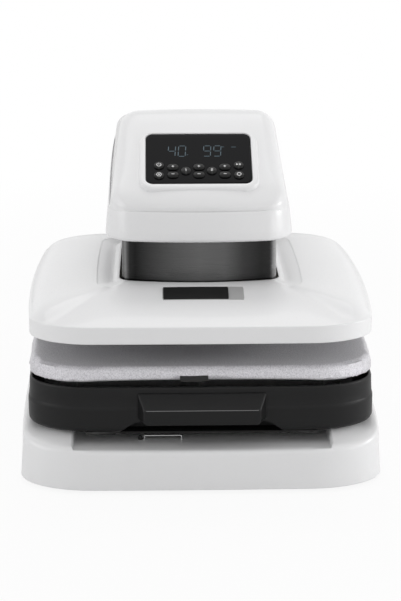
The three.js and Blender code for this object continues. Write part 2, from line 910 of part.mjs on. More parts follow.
add("lower_platen", buildLowerPlaten(), aluminium());
add("press_pad", prism(plateShape(padWidth, padDepth, padCorner), pressY, padBottom, padTop), foam());
add("pad_cover", buildPadCover(), silverCloth());
add("cover_tag", buildTag(), blackPlastic());

// Hood over the hot plate: a low dome from a bowed square rim to a raised collar and the neck
const hoodShape = {
  halfX: hoodWidth / 2,
  halfY: hoodDepth / 2,
  corner: hoodCorner,
  reach: hoodCornerReach,
  bowX: hoodSideBow,
  bowFront: hoodBow,
  bowRear: hoodBow,
};
const shroudShape = { halfX: shroudHalfX, halfY: shroudHalfY, corner: shroudCorner, bowFront: shroudBow };
const neckShape = inset(shroudShape, -neckClearance);
neckShape.corner = shroudCorner + neckClearance;

// Height of the dome where it has come a share of the way from rim to neck.
function domeHeight(share) {
  const [before, after] = domeProfileShares
    .slice(1)
    .map((point, index) => [domeProfileShares[index], point])
    .find(([, point]) => share <= point[0]);
  const along = (share - before[0]) / (after[0] - before[0]);
  const rise = before[1] + (after[1] - before[1]) * along;
  return hoodRimTop + (hoodNeckTop - collarRise - hoodRimTop) * rise;
}

function buildHood() {
  const outer = (share, lift = 0) => {
    return ring(blendShapes(inset(hoodShape, hoodRimRound), neckShape, share), pressY, domeHeight(share) + lift);
  };
  const inner = (share, lift = 0) => {
    const shape = blendShapes(inset(hoodShape, hoodWall + hoodRimRound), neckShape, share);
    return ring(shape, pressY, domeHeight(share) + lift - hoodWall);
  };
  const rim = (drawn, z) => ring(inset(hoodShape, drawn), pressY, z);
  const rises = domeProfileShares.map(([share]) => share);
  const slope = rises.filter((share) => share < collarShares[0]);
  const collar = rises.filter((share) => share > collarShares[1]);
  const outside = [
    rim(hoodRimRound * (1 - roundShare), hoodRimBottom),
    rim(0, hoodRimBottom + hoodRimRound * (1 - roundShare)),
    rim(0, hoodRimTop - hoodRimRound),
    rim(hoodRimRound * (1 - roundShare), hoodRimTop - hoodRimRound * (1 - roundShare)),
    ...slope.map((share) => outer(share)),
    outer(collarShares[0]),
    outer(collarShares[1], collarRise),
    ...collar.map((share) => outer(share, collarRise)),
  ];
  const shell = skin([
    ...outside,
    inner(1, collarRise),
    inner(collarShares[1], collarRise),
    inner(collarShares[0]),
    ...slope.filter((unused, index) => index % 2 === 0).reverse().map((share) => inner(share)),
    rim(hoodWall, hoodRimTop - hoodRimRound * 2),
    rim(hoodWall, hoodRimBottom),
  ], true);
  const bosses = [];
  for (const [, side] of sides) {
    for (const end of [-1, 1]) {
      const x = side * (hoodWidth / 2 - hoodBossInset);
      const y = pressY + end * (hoodDepth / 2 - hoodBossInset);
      const bottom = insulationTop + seatGap;
      const post = rod(hoodBossRadius, hoodNeckTop - bottom, x, y, bottom, bossSteps);
      bosses.push(common(post, skin(outside)));
    }
  }
  return join(shell, ...bosses);
}

// Hot plate stack under the hood, hung from the ram and two guide rods
function buildHeatingPlaten() {
  const shape = plateShape(platenWidth, platenDepth, platenCorner);
  const plate = moulded(shape, pressY, [
    [platenEdge, platenBottom], [0, platenBottom + platenEdge], [0, platenTop],
  ]);
  const grooves = [];
  for (const share of heaterShares) {
    grooves.push(block(platenWidth * heaterRunShare, heaterGroove, heaterGroove + overrun, 0,
      pressY + share * platenDepth / 2, platenTop - heaterGroove));
  }
  return cut(plate, ...grooves);
}

const carrierShape = plateShape(carrierSize, carrierSize, carrierCorner);
const guides = sides.map(([name, side]) => [name, side * guideSpread]);
const guideBottom = carrierTop + seatGap;

function buildRamTube() {
  const inside = ramRadius - ramWall;
  const foot = carrierTop + seatGap;
  return turned([
    [inside, foot], [ramFlange, foot], [ramFlange, foot + ramFlangeThick], [ramRadius, foot + ramFlangeThick],
    [ramRadius, ramTop], [inside, ramTop], [inside, foot],
  ], 0, pressY);
}

function buildScrewNut() {
  const bore = screwRadius + screwBoreGap;
  const hub = ramRadius - ramWall - seatGap;
  const seat = ramTop + seatGap;
  return turned([
    [bore, seat - nutLength], [hub, seat - nutLength], [hub, seat], [nutFlange, seat], [nutFlange, seat + nutFlangeThick],
    [bore, seat + nutFlangeThick], [bore, seat - nutLength],
  ], 0, pressY);
}

// Guide rod with a chamfered top
function buildGuideRod(x) {
  return turned([
    [0, guideBottom], [guideRadius, guideBottom], [guideRadius, guideTop - guideChamfer],
    [guideRadius - guideChamfer, guideTop], [0, guideTop],
  ], x, pressY);
}

function buildGuideBush(x) {
  const bore = guideRadius + guideGap;
  const hub = bore + bushWall;
  const seat = frameTopTop + seatGap;
  return turned([
    [bore, seat + bushFlangeThick - bushLength], [hub, seat + bushFlangeThick - bushLength], [hub, seat],
    [hub + bushFlange, seat], [hub + bushFlange, seat + bushFlangeThick], [bore, seat + bushFlangeThick],
    [bore, seat + bushFlangeThick - bushLength],
  ], x, pressY);
}

// Lead screw: a ridge for each turn of its thread and a plain journal at the top
function buildLeadScrew() {
  const profile = [[0, screwBottom], [screwRadius - screwThread, screwBottom]];
  const turns = Math.floor((screwTop - screwJournal - screwBottom) / screwPitch);
  for (let index = 0; index < turns; index += 1) {
    const z = screwBottom + index * screwPitch;
    profile.push([screwRadius, z + screwPitch / 2], [screwRadius - screwThread, z + screwPitch]);
  }
  profile.push([screwRadius - screwThread, screwTop], [0, screwTop]);
  return turned(profile, 0, pressY, screwSides);
}

add("hood", buildHood(), whitePlastic());
add("heating_platen", buildHeatingPlaten(), aluminium());
add("insulation_sheet", prism(plateShape(platenWidth, platenDepth, platenCorner), pressY, platenTop + seatGap, insulationTop), foam());
add("carrier_plate", prism(carrierShape, pressY, carrierBottom, carrierTop), zincSteel());
add("ram_tube", buildRamTube(), zincSteel());
add("screw_nut", buildScrewNut(), bronze());
add("lead_screw", buildLeadScrew(), zincSteel());
for (const [name, x] of guides) {
  add(`guide_rod_${name}`, buildGuideRod(x), aluminium());
  add(`guide_bush_${name}`, buildGuideBush(x), bronze());
}

// Shroud: a bowed sleeve that hangs from the head into the hood's neck
const headShape = {
  halfX: headWidth / 2, halfY: headDepth / 2, corner: headCorner, bowX: headSideBow, bowFront: headFrontBow,
};
const headY = fromFront(headFront + headDepth / 2);

function buildShroud() {
  const top = headBottom - seatGap;
  const inside = inset(shroudShape, shroudWall);
  return skin([
    ring(shroudShape, pressY, shroudBottom),
    ring(shroudShape, pressY, top),
    ring(inside, pressY, top),
    ring(inside, pressY, shroudBottom),
  ], true);
}

// Seam between the head's lower shell and its cover: low at the nose, rising to the rear
function seamHeight(y) {
  const share = Math.min(1, Math.max(0, (y - fromFront(headFront)) / headDepth));
  const last = seamShares.length - 1;
  const index = Math.max(1, seamShares.findIndex(([reach]) => share <= reach));
  const [before, after] = [seamShares[Math.min(index, last) - 1], seamShares[Math.min(index, last)]];
  const along = (share - before[0]) / (after[0] - before[0]);
  return partingFront + (partingRear - partingFront) * (before[1] + (after[1] - before[1]) * along);
}

// All the space above the seam, or below it, as a tool that trims the two shells to each other.
function seamTool(lift, level) {
  const line = seamShares.map(([reach, climb]) => {
    return [fromFront(headFront) + reach * headDepth, partingFront + climb * (partingRear - partingFront) + lift];
  });
  const before = [line[0][0] - headDepth, line[0][1]];
  const after = [line[line.length - 1][0] + headDepth, line[line.length - 1][1]];
  const edge = [before, ...line, after];
  const points = [...edge, [after[0], level], [before[0], level]];
  return sideCut(level > partingFront ? points : points.reverse(), -headWidth, headWidth);
}

function buildHeadShell() {
  const outside = skin([
    ring(inset(headShape, headBottomRound), headY, headBottom),
    ring(inset(headShape, headBottomRound * (1 - roundShare)), headY, headBottom + headBottomRound * (1 - roundShare)),
    ring(headShape, headY, headBottom + headBottomRound),
    ring(inset(headShape, headDraft), headY, partingRear + overrun),
  ]);
  const inside = prism(inset(headShape, coverInset + plasticWall), headY, headFloorTop, headTop);
  const mouth = inset(shroudShape, shroudWall + seatGap);
  const ramWell = prism(mouth, pressY, headBottom - overrun, headFloorTop + overrun);
  return cut(outside, inside, seamTool(0, headTop + headBottom), ramWell, columnWell(headBottom - overrun, headFloorTop + overrun));
}

// Height of the head's top along its length: nose, slope under the panel, crest and a long fall to the rear
function topHeight(reach) {
  const nose = headNose;
  const slope = partingFront + noseHeight + (reach - nose) * slopeRise;
  const flat = headTop - rearFall * Math.max(0, reach - headDepth * crestShare) / headDepth;
  const soft = Math.max(crestSoft - Math.abs(slope - flat), 0) / crestSoft;
  const top = Math.min(slope, flat) - soft * soft * crestSoft / 4;
  if (reach < nose) {
    const share = Math.max(0, reach) / nose;
    return partingFront + headSeam + noseHeight * noseStart + noseHeight * (1 - noseStart) * Math.sqrt(1 - (1 - share) ** 2);
  }
  const left = Math.max(0, headDepth - coverInset - reach);
  const rear = left < rearRound ? rearRound * (1 - Math.sqrt(1 - (1 - left / rearRound) ** 2)) : 0;
  return top - rear;
}

// One upright section of the cover: up the left side, over the top and down the right side.
function coverSection(reach, drawn, floor) {
  const y = fromFront(headFront) + reach;
  const wide = headWidth / 2 - coverInset - drawn;
  const plan = headCorner - coverInset;
  const depth = Math.max(0, Math.min(plan, reach - coverInset));
  const half = wide - plan + Math.sqrt(plan ** 2 - (plan - depth) ** 2);
  const top = topHeight(reach) - drawn;
  const bottom = seamHeight(y) + floor;
  const round = Math.min(headEdgeRound, (top - bottom) * edgeShare, half * edgeShare);
  const lean = (z) => coverLean * (z - bottom) / (headTop - partingFront);
  const middle = (bottom + top - round) / 2;
  const flat = half - lean(top - round) - round;
  const side = [[half, bottom], [half - lean(middle), middle]];
  for (let step = 0; step <= edgeSteps; step += 1) {
    const angle = step / edgeSteps * 90 * degree;
    side.push([flat + round * Math.cos(angle), top - round + round * Math.sin(angle)]);
  }
  const crown = [];
  for (let step = crownSteps - 1; step > -crownSteps; step -= 1) {
    const share = step / crownSteps;
    crown.push([flat * share, top + headCrown * (1 - share * share)]);
  }
  const left = side.map(([x, z]) => [-x, z]);
  const right = [...side].reverse();
  const path = [...left, ...crown.reverse(), ...right];
  for (let step = crownSteps - 1; step > -crownSteps; step -= 1) {
    path.push([half * step / crownSteps, bottom]);
  }
  const bow = (x) => headFrontBow * (x / (headWidth / 2)) ** 2 * Math.max(0, 1 - reach / (headDepth * bowFadeShare));
  return path.map(([x, z]) => new THREE.Vector3(x, y + bow(x), z));
}

function coverBody(places, ends, drawn, floor) {
  const first = coverInset + ends;
  const last = headDepth - coverInset - ends;
  return skin(places.map((share) => coverSection(first + (last - first) * share, drawn, floor)));
}

// Frame of the panel: across, up the slope, and out of it
const panelPlace = new THREE.Matrix4()
  .makeTranslation(0, fromFront(panelLowY), panelLowZ)
  .multiply(new THREE.Matrix4().makeRotationX(panelTilt));
const panelShape = { halfX: panelWidth / 2, halfY: panelHeight / 2, corner: panelCorner };
const panelMiddle = panelHeight / 2;

function panelPrism(shape, low, high) {
  return prism(shape, panelMiddle, low, high).applyMatrix4(panelPlace);
}

function buildHeadCover() {
  const outside = coverBody(coverSectionShares, 0, 0, -overrun);
  const inside = coverBody(coverInnerShares, coverEndWall, plasticWall, -2 * overrun);
  const bezel = moulded(inset(panelShape, -bezelWidth), panelMiddle, [
    [-bezelFlare, -bezelDepth],
    [0, -bezelEdge],
    [bezelEdge, 0],
  ]).applyMatrix4(panelPlace);
  const seat = panelPrism(inset(panelShape, -seatGap), -panelThick - seatGap, bezelDepth);
  const window = panelPrism(inset(panelShape, panelSeatWidth), -bezelDepth * 2, bezelDepth);
  return cut(join(cut(outside, inside), bezel), seat, window, seamTool(headSeam, 0));
}

add("shroud", buildShroud(), darkSteel());
add("head_shell", buildHeadShell(), whitePlastic());
add("head_cover", buildHeadCover(), whitePlastic());

// Column housing with vents in its rear wall
function buildColumn() {
  const low = deckTop + seatGap;
  const high = headBottom - seatGap;
  const tube = skin([
    ring(columnShape, columnY, low), ring(columnShape, columnY, high),
    ring(columnInside, columnY, high), ring(columnInside, columnY, low),
  ], true);
  const slots = [];
  for (let index = 0; index < ventCount; index += 1) {
    const x = (index - (ventCount - 1) / 2) * ventPitch;
    slots.push(block(ventWidth, plasticWall * 2 + overrun, ventHeight, x, columnY + columnDepth / 2, low + ventLift));
  }
  return cut(tube, ...slots);
}

add("column_housing", buildColumn(), whitePlastic());

// Control panel with its buttons and board, in the panel's own frame
const panelGroup = new THREE.Group();
panelGroup.position.set(0, fromFront(panelLowY), panelLowZ);
panelGroup.rotation.x = panelTilt;
press.add(panelGroup);

const roundButton = { halfX: buttonRadius, halfY: buttonRadius, corner: buttonRadius };
const halfButton = {
  halfX: halfButtonWidth / 2, halfY: halfButtonHeight / 2, corner: halfButtonHeight / 2, bowFront: 0, bowRear: 0,
};
const buttons = [
  ["power", roundButton, -outerColumn, upperRoundRow],
  ["settings", roundButton, -outerColumn, lowerRoundRow],
  ["time_up", halfButton, -middleColumn, upperHalfRow],
  ["time_down", halfButton, -middleColumn, lowerHalfRow],
  ["preset_1", roundButton, -modeColumn, modeRow],
  ["heat_up", halfButton, 0, upperHalfRow],
  ["heat_down", halfButton, 0, lowerHalfRow],
  ["preset_2", roundButton, modeColumn, modeRow],
  ["force_up", halfButton, middleColumn, upperHalfRow],
  ["force_down", halfButton, middleColumn, lowerHalfRow],
  ["start", roundButton, outerColumn, upperRoundRow],
  ["auto", roundButton, outerColumn, lowerRoundRow],
];
const buttonBottom = -panelThick - seatGap - buttonFlangeThick;
const boardTop = -boardGap;

function buildPanel() {
  const plate = prism(panelShape, panelMiddle, -panelThick, 0);
  const posts = [];
  for (const [, side] of sides) {
    for (const v of [modeRow, panelHeight - panelPostInset]) {
      const u = side * (panelWidth / 2 - panelPostInset);
      posts.push(rod(panelPostRadius, boardGap - panelThick / 2 - seatGap, u, v, boardTop + seatGap, buttonArcs * 4));
    }
  }
  const holes = buttons.map(([, shape, u, v]) => {
    return prism(inset(shape, -buttonGap), v, -panelThick - overrun, overrun, buttonArcs, 1).translate(u, 0, 0);
  });
  return cut(join(plate, ...posts), ...holes);
}

function buildButton(shape, u, v) {
  return moulded(shape, v, [
    [-buttonFlange, buttonBottom],
    [-buttonFlange, buttonBottom + buttonFlangeThick],
    [0, buttonBottom + buttonFlangeThick],
    [0, buttonRise - buttonEdge],
    [buttonEdge * (1 - roundShare), buttonRise - buttonEdge * (1 - roundShare)],
    [buttonEdge, buttonRise],
  ], buttonArcs, 1).translate(u, 0, 0);
}

function buildControlBoard() {
  const shape = inset(panelShape, boardInset);
  const plate = prism(shape, panelMiddle, boardTop - boardThick, boardTop, buttonArcs, 1);
  const tops = buttonBottom - buttonTravel - seatGap;
  const switches = buttons.map(([, , u, v]) => {
    return block(switchSize, switchSize, tops - boardTop + boardThick / 2, u, v, boardTop - boardThick / 2);
  });
  const display = block(displayWidth, displayHeight, boardGap - panelThick - seatGap + boardThick / 2, 0,
    panelHeight - displayDrop, boardTop - boardThick / 2);
  return join(plate, ...switches, display);
}

add("control_panel", buildPanel(), blackGloss(), panelGroup);
add("control_board", buildControlBoard(), boardGreen(), panelGroup);
for (const [name, shape, u, v] of buttons) {
  add(`button_${name}`, buildButton(shape, u, v), buttonPlastic(), panelGroup);
}

// Frame: two C plates that run from the base up the column and out over the press
function buildFramePlate(side) {
  const rear = fromFront(frameRear);
  const back = rear - frameBackDepth;
  const low = bottomPlateTop + seatGap;
  const lowArm = deckUnder - seatGap;
  const highArm = frameTopBottom;
  const top = frameTopBottom + frameArmHeight;
  const points = [
    [fromFront(frameFoot), low], [rear, low], [rear, top], [fromFront(frameArmFront) + frameTipCut, top],
    [fromFront(frameArmFront), top - frameTipCut], [fromFront(frameArmFront), highArm],
    [back - frameCorner, highArm], [back, highArm - frameCorner], [back, lowArm], [fromFront(frameFoot), lowArm],
  ];
  const inner = side < 0 ? -frameHalf - frameThick : frameHalf;
  const plate = sideCut(points, inner, inner + frameThick);
  const windows = [];
  for (const share of frameWindowShares) {
    const z = deckTop + (highArm - deckTop) * share;
    windows.push(block(frameThick + 2 * overrun, frameBackDepth * frameWindowWidthShare, frameWindowHeight,
      inner + frameThick / 2, rear - frameBackDepth / 2, z));
  }
  return cut(plate, ...windows);
}

for (const [name, side] of sides) {
  add(`frame_plate_${name}`, buildFramePlate(side), darkSteel());
}

const betweenPlates = 2 * (frameHalf - seatGap);

function buildFrameBed() {
  const middle = fromFront(frameBedFront + frameBedDepth / 2);
  const top = deckUnder - seatGap;
  const plate = block(betweenPlates, frameBedDepth, frameBedThick, 0, middle, top - frameBedThick);
  const ribHeight = top - frameBedThick / 2 - bottomPlateTop - seatGap;
  const ribs = frameBedRibShares.map((share) => {
    return block(betweenPlates, frameThick, ribHeight, 0, middle + share * frameBedDepth / 2, bottomPlateTop + seatGap);
  });
  return join(plate, ...ribs);
}

function buildFrameTop() {
  const plate = block(betweenPlates, frameTopDepth, frameTopThick, 0, pressY + frameTopDepth / 2 - frameTopLead,
    frameTopBottom);
  const hub = guideRadius + guideGap + bushWall + seatGap;
  const holes = guides.map(([, x]) => rod(hub, frameTopThick + 2 * overrun, x, pressY, frameTopBottom - overrun));
  const centre = rod(screwRadius + frameScrewGap, frameTopThick + 2 * overrun, 0, pressY, frameTopBottom - overrun);
  return cut(plate, ...holes, centre);
}

add("frame_bed", buildFrameBed(), darkSteel());
add("frame_top", buildFrameTop(), darkSteel());

// Gearbox and motor that turn the lead screw
const gearboxBottom = frameTopTop + seatGap;
const gearboxTop = gearboxBottom + gearboxHeight;
const gearboxRear = pressY + gearboxDepth / 2;
const motorZ = gearboxBottom + motorRadius + motorLift;

function buildGearbox() {
  const shape = { halfX: gearboxWidth / 2, halfY: gearboxDepth / 2, corner: gearboxRound };
  const body = moulded(shape, pressY, [
    [0, gearboxBottom], [0, gearboxTop - gearboxRound / 2], [gearboxRound / 2, gearboxTop],
  ]);
  const bore = screwRadius + screwBoreGap;
  return cut(body, rod(bore, screwTop + seatGap + overrun - gearboxBottom, 0, pressY, gearboxBottom - overrun));
}

function buildMotor() {
  const start = gearboxRear + seatGap;
  const profile = [
    [0, 0], [motorRadius - motorCapStep, 0], [motorRadius - motorCapStep, motorCapLength], [motorRadius, motorCapLength],
    [motorRadius, motorLength - motorCapLength], [motorRadius - motorCapStep, motorLength - motorCapLength],
    [motorRadius - motorCapStep, motorLength], [0, motorLength],
  ];
  const body = turned(profile, 0, 0, motorSides).rotateX(-90 * degree).translate(0, start, motorZ);
  const foot = block(motorRadius, motorLength - 2 * motorCapLength, motorZ - motorRadius / 2 - gearboxBottom,
    0, start + motorLength / 2, gearboxBottom);
  return join(body, foot);
}

add("gearbox", buildGearbox(), aluminium());
add("motor", buildMotor(), darkSteel());

// Limit switch under the frame's top plate, reached by the carrier at the top of the stroke
function buildLimitSwitch() {
  const top = frameTopBottom - seatGap;
  const y = pressY + carrierSize / 2 - limitDepth;
  const body = block(limitWidth, limitDepth, limitHeight, 0, y, top - limitHeight);
  const lever = block(limitWidth * leverShare, limitDepth / 2, slideSheet, 0, y, top - limitHeight - slideSheet + seatGap);
  return join(body, lever);
}

add("top_limit_switch", buildLimitSwitch(), blackPlastic());

// Power entry at the rear of the base: a socket, a rocker switch and its bezel
const entryFace = entryY;

function buildInlet() {
  const flange = block(inletFlangeWidth, inletFlangeThick, inletFlangeHeight, inletX,
    entryFace + seatGap + inletFlangeThick / 2, entryMiddle - inletFlangeHeight / 2);
  const body = block(inletWidth, inletBodyDepth, inletHeight, inletX,
    entryFace + seatGap + inletFlangeThick - inletBodyDepth / 2, entryMiddle - inletHeight / 2);
  const socket = block(inletWidth - 2 * inletWall, inletSocketDepth + overrun, inletHeight - 2 * inletWall, inletX,
    entryFace + seatGap + inletFlangeThick - inletSocketDepth + (inletSocketDepth + overrun) / 2,
    entryMiddle - inletHeight / 2 + inletWall);
  const blades = [[-1, 0], [0, inletBladeRise], [1, 0]].map(([place, rise]) => {
    return block(inletBlade, inletSocketDepth * bladeShare, inletBladeLong, inletX + place * inletBladeSpread,
      entryFace + seatGap + inletFlangeThick - inletSocketDepth + inletSocketDepth * bladeShare / 2 - seatGap,
      entryMiddle - inletBladeLong / 2 + rise);
  });
  return join(cut(join(flange, body), socket), ...blades);
}

function buildSwitchBezel() {
  const outerWide = rockerWidth + 2 * rockerWall;
  const outerHigh = rockerHeight + 2 * rockerWall;
  const flange = block(outerWide + 2 * rockerWall, inletFlangeThick, outerHigh + 2 * rockerWall, switchX,
    entryFace + seatGap + inletFlangeThick / 2, entryMiddle - outerHigh / 2 - rockerWall);
  const body = block(outerWide, rockerDepth + rockerWall, outerHigh, switchX,
    entryFace + seatGap + inletFlangeThick - (rockerDepth + rockerWall) / 2, entryMiddle - outerHigh / 2);
  const well = block(rockerWidth, rockerDepth + overrun, rockerHeight, switchX,
    entryFace + seatGap + inletFlangeThick - rockerDepth + (rockerDepth + overrun) / 2, entryMiddle - rockerHeight / 2);
  return cut(join(flange, body), well);
}

// The rocker turns about a lying axis; its face is two flats that meet in a shallow valley.
const rockerAxisY = entryFace + seatGap + inletFlangeThick - rockerSink;

function buildRocker() {
  const half = rockerWidth / 2 - rockerEndGap;
  const points = [];
  const face = rockerSink - rockerValley;
  points.push([-half, face * rockerLowShare], [0, face], [half, face * rockerLowShare + rockerCrown]);
  points.push([half, -rockerSkirt * rockerLowShare], [half * rockerRootShare, -rockerSkirt], [-half * rockerRootShare, -rockerSkirt]);
  points.push([-half, -rockerSkirt * rockerLowShare]);
  const shape = new THREE.Shape(points.reverse().map(([x, y]) => new THREE.Vector2(x, y)));
  const depth = rockerHeight - 2 * seatGap;
  return new THREE.ExtrudeGeometry(shape, { depth, bevelEnabled: false }).translate(0, 0, -depth / 2);
}

add("power_inlet", buildInlet(), blackPlastic());
add("switch_bezel", buildSwitchBezel(), blackPlastic());
add("power_switch", buildRocker(), blackGloss()).position.set(switchX, rockerAxisY, entryMiddle);

// Power board on the bottom plate
function buildPowerBoard() {
  const y = fromFront(powerBoardFront) + powerBoardDepth / 2;
  const low = bottomPlateTop + seatGap;
  const plate = block(powerBoardWidth, powerBoardDepth, boardThick, 0, y, low + powerBoardLift);
  const parts = [];
  for (const [, side] of sides) {
    for (const end of [-1, 1]) {
      parts.push(rod(panelPostRadius, powerBoardLift + boardThick / 2, side * powerBoardWidth * boardPostShare,
        y + end * powerBoardDepth * boardPostShare, low, buttonArcs * 4));
    }
  }
  for (const [x, along, wide, deep, high] of powerPartShares) {
    parts.push(block(wide * powerBoardWidth, deep * powerBoardDepth, high * powerBoardDepth + boardThick / 2,
      x * powerBoardWidth, y + along * powerBoardDepth, low + powerBoardLift + boardThick / 2));
  }
  return join(plate, ...parts);
}

add("power_board", buildPowerBoard(), boardGreen());

export default press;
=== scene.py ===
# %% [markdown]
# # A flat heat press, dressed over its measured frame
#
# A heat press of this kind is a plastic-clad machine with a square hot plate that a motor lowers onto
# a padded drawer. The frame that is loaded first holds every solid piece at its real size and knows
# which piece moves with which. This file gives the press its skin: smooth mouldings, a sewn cloth
# cover, a glossy panel and the finish of each surface. Sizes are in millimetres in the code and are
# turned into metres only where a mesh is made, because that is how a maker would read a drawing.

import math

import bmesh
import bpy
from mathutils import Matrix, Vector, noise


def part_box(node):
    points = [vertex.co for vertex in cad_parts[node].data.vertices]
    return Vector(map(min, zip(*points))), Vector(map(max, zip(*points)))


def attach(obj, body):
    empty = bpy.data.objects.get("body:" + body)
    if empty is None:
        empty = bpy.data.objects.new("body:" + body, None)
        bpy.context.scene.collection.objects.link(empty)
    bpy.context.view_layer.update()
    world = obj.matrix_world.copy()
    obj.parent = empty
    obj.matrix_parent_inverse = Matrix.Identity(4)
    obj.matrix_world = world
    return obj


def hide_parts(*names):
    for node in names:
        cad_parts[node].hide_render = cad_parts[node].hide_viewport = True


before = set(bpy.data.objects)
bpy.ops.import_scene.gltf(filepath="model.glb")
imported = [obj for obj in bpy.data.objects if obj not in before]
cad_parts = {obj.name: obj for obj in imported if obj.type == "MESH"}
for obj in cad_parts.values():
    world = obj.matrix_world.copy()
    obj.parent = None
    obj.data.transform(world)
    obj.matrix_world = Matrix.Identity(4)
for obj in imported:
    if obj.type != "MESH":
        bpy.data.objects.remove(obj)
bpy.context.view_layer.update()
MM = 0.001

# %% [markdown]
# ## Measured places
#
# The base is 545 mm deep and the drawing measures depth from its front edge, so one small function
# turns such a depth into the Y of the scene. A few heights and centres come back again and again,
# and each is written once here.

# %% Shared sizes
BASE_DEPTH = 545
PRESS_DEPTH = 235
DECK_TOP = 52
HEAD_BOTTOM = 274


def from_front(depth):
    """Y of a place that lies this far behind the front edge of the base."""
    return depth - BASE_DEPTH / 2


PRESS_Y = from_front(PRESS_DEPTH)
print("the ram stands at Y", PRESS_Y)

# %% [markdown]
# ## Outlines
#
# Almost every moulding of the press is a soft rectangle in plan: its sides bow outwards and its
# corners are wider than they are deep. Such an outline could be drawn as a curve object, but a
# function that returns points is easier to shrink, blend and lift into rings.


# %% Soft rectangles
class Plan:
    """A rectangle in plan with bowed sides and elliptical corners, in millimetres."""

    def __init__(
        self, width, depth, corner, reach=None, side_bow=0, front_bow=0, rear_bow=0, centre=0
    ):
        self.half_x = width / 2
        self.half_y = depth / 2
        self.corner = corner
        self.reach = corner if reach is None else reach
        self.bows = (side_bow, front_bow, rear_bow)
        self.centre = centre

    def drawn_in(self, distance):
        """The same outline moved inwards; its corners never become sharp."""
        least = self.corner * 0.2
        return Plan(
            2 * (self.half_x - distance), 2 * (self.half_y - distance),
            max(self.corner - distance, least), max(self.reach - distance, least),
            *self.bows, self.centre,
        )

    def blend(self, other, share):
        """An outline part of the way towards another one."""
        mix = lambda a, b: a * (1 - share) + b * share
        return Plan(
            2 * mix(self.half_x, other.half_x), 2 * mix(self.half_y, other.half_y),
            mix(self.corner, other.corner), mix(self.reach, other.reach),
            *map(mix, self.bows, other.bows), mix(self.centre, other.centre),
        )

    def points(self, arcs=12, sides=14):
        """Points round the outline: arcs steps in each corner, sides steps along each side."""
        side_bow, front_bow, rear_bow = self.bows
        flat_x = self.half_x - side_bow
        corners = []
        for quarter, (sign_x, sign_y) in enumerate(((1, 1), (-1, 1), (-1, -1), (1, -1))):
            flat_y = self.half_y - (rear_bow if sign_y > 0 else front_bow)
            middle = (sign_x * (flat_x - self.reach), sign_y * (flat_y - self.corner))
            angles = [math.radians((quarter + step / arcs) * 90) for step in range(arcs + 1)]
            corners.append([
                (middle[0] + self.reach * math.cos(a), middle[1] + self.corner * math.sin(a))
                for a in angles
            ])
        raw = []
        for quarter, arc in enumerate(corners):
            start, end = arc[-1], corners[(quarter + 1) % 4][0]
            raw += arc
            raw += [
                tuple(a + (b - a) * step / sides for a, b in zip(start, end))
                for step in range(1, sides)
            ]
        bowed = []
        for x, y in raw:
            bow = rear_bow if y > 0 else front_bow
            flat_y = self.half_y - bow
            out_x = side_bow * (1 - (y / flat_y) ** 2) * (x / flat_x)
            out_y = bow * (1 - (x / flat_x) ** 2) * (y / flat_y)
            bowed.append((x + out_x, y + out_y + self.centre))
        return bowed


print("a soft rectangle has", len(Plan(100, 100, 20).points()), "points")

# %% [markdown]
# ## Lofts and mouldings
#
# A moulding is a stack of such outlines at different heights with a skin drawn over them. A height
# may be a number or a rule of x and y, which is how a seam can climb along a side. Subdivision of a
# rough cage would also give smooth shells, but it rounds flat faces and moves the measured edges.


# %% Rings and skins
def ring(plan, height, arcs=12, sides=14):
    """The outline lifted to a height, which is a number or a rule of x and y."""
    rule = height if callable(height) else lambda x, y: height
    return [Vector((x, y, rule(x, y))) for x, y in plan.points(arcs, sides)]


def stack(plan, rows, base=0, **steps):
    """Rings of one outline: rows are (inset, height above the base)."""
    return [ring(plan.drawn_in(inset), base + height, **steps) for inset, height in rows]


def shade(piece, angle=38):
    """Smooth shading that breaks where two faces meet at more than this angle."""
    piece.data.shade_smooth()
    piece.data.set_sharp_from_angle(angle=math.radians(angle))


def make_object(name, mesh_data, material):
    """A shaded object from a bmesh; sharp creases stay sharp and the rest is smooth."""
    mesh = bpy.data.meshes.new(name)
    bmesh.ops.recalc_face_normals(mesh_data, faces=mesh_data.faces)
    if mesh_data.calc_volume(signed=True) < 0:
        bmesh.ops.reverse_faces(mesh_data, faces=mesh_data.faces)
    mesh_data.to_mesh(mesh)
    mesh_data.free()
    piece = bpy.data.objects.new(name, mesh)
    bpy.context.scene.collection.objects.link(piece)
    mesh.materials.append(material)
    shade(piece)
    return piece


def add_skin(mesh_data, rings, looped=False, capped="face"):
    """Skins rings of equal count into a bmesh. Ends get one face, or a ladder of small ones."""
    rows = [[mesh_data.verts.new(point * MM) for point in row] for row in rings]
    count = len(rings[0])
    pairs = list(zip(rows, rows[1:])) + ([(rows[-1], rows[0])] if looped else [])
    for low, high in pairs:
        for step in range(count):
            after = (step + 1) % count
            mesh_data.faces.new((low[step], low[after], high[after], high[step]))
    if looped:
        return
    for row in (rows[0], rows[-1]):
        if capped == "face":
            mesh_data.faces.new(row)
            continue
        for step in range(count // 2):
            places = (step, step + 1, count - step - 1, count - step)
            mesh_data.faces.new(list(dict.fromkeys(row[place % count] for place in places)))


def skin(name, rings, material, looped=False, capped="face"):
    """One object from a stack of rings."""
    mesh_data = bmesh.new()
    add_skin(mesh_data, rings, looped, capped)
    return make_object(name, mesh_data, material)


def edge_round(radius, steps=5):
    """Insets and rises of a quarter round, from the flat underside to the wall."""
    angles = [math.radians(90 * step / steps) for step in range(steps + 1)]
    return [(radius * (1 - math.sin(a)), radius * (1 - math.cos(a))) for a in angles]


print("a quarter round of 4 mm:", [tuple(round(v, 2) for v in p) for p in edge_round(4, steps=3)])

# %% [markdown]
# ## Cutting and softening
#
# Pockets, windows and vents are taken out with a Boolean, as a toolmaker would mill them. A moulded
# edge is never knife sharp, so a small bevel follows where a cut leaves a crease.


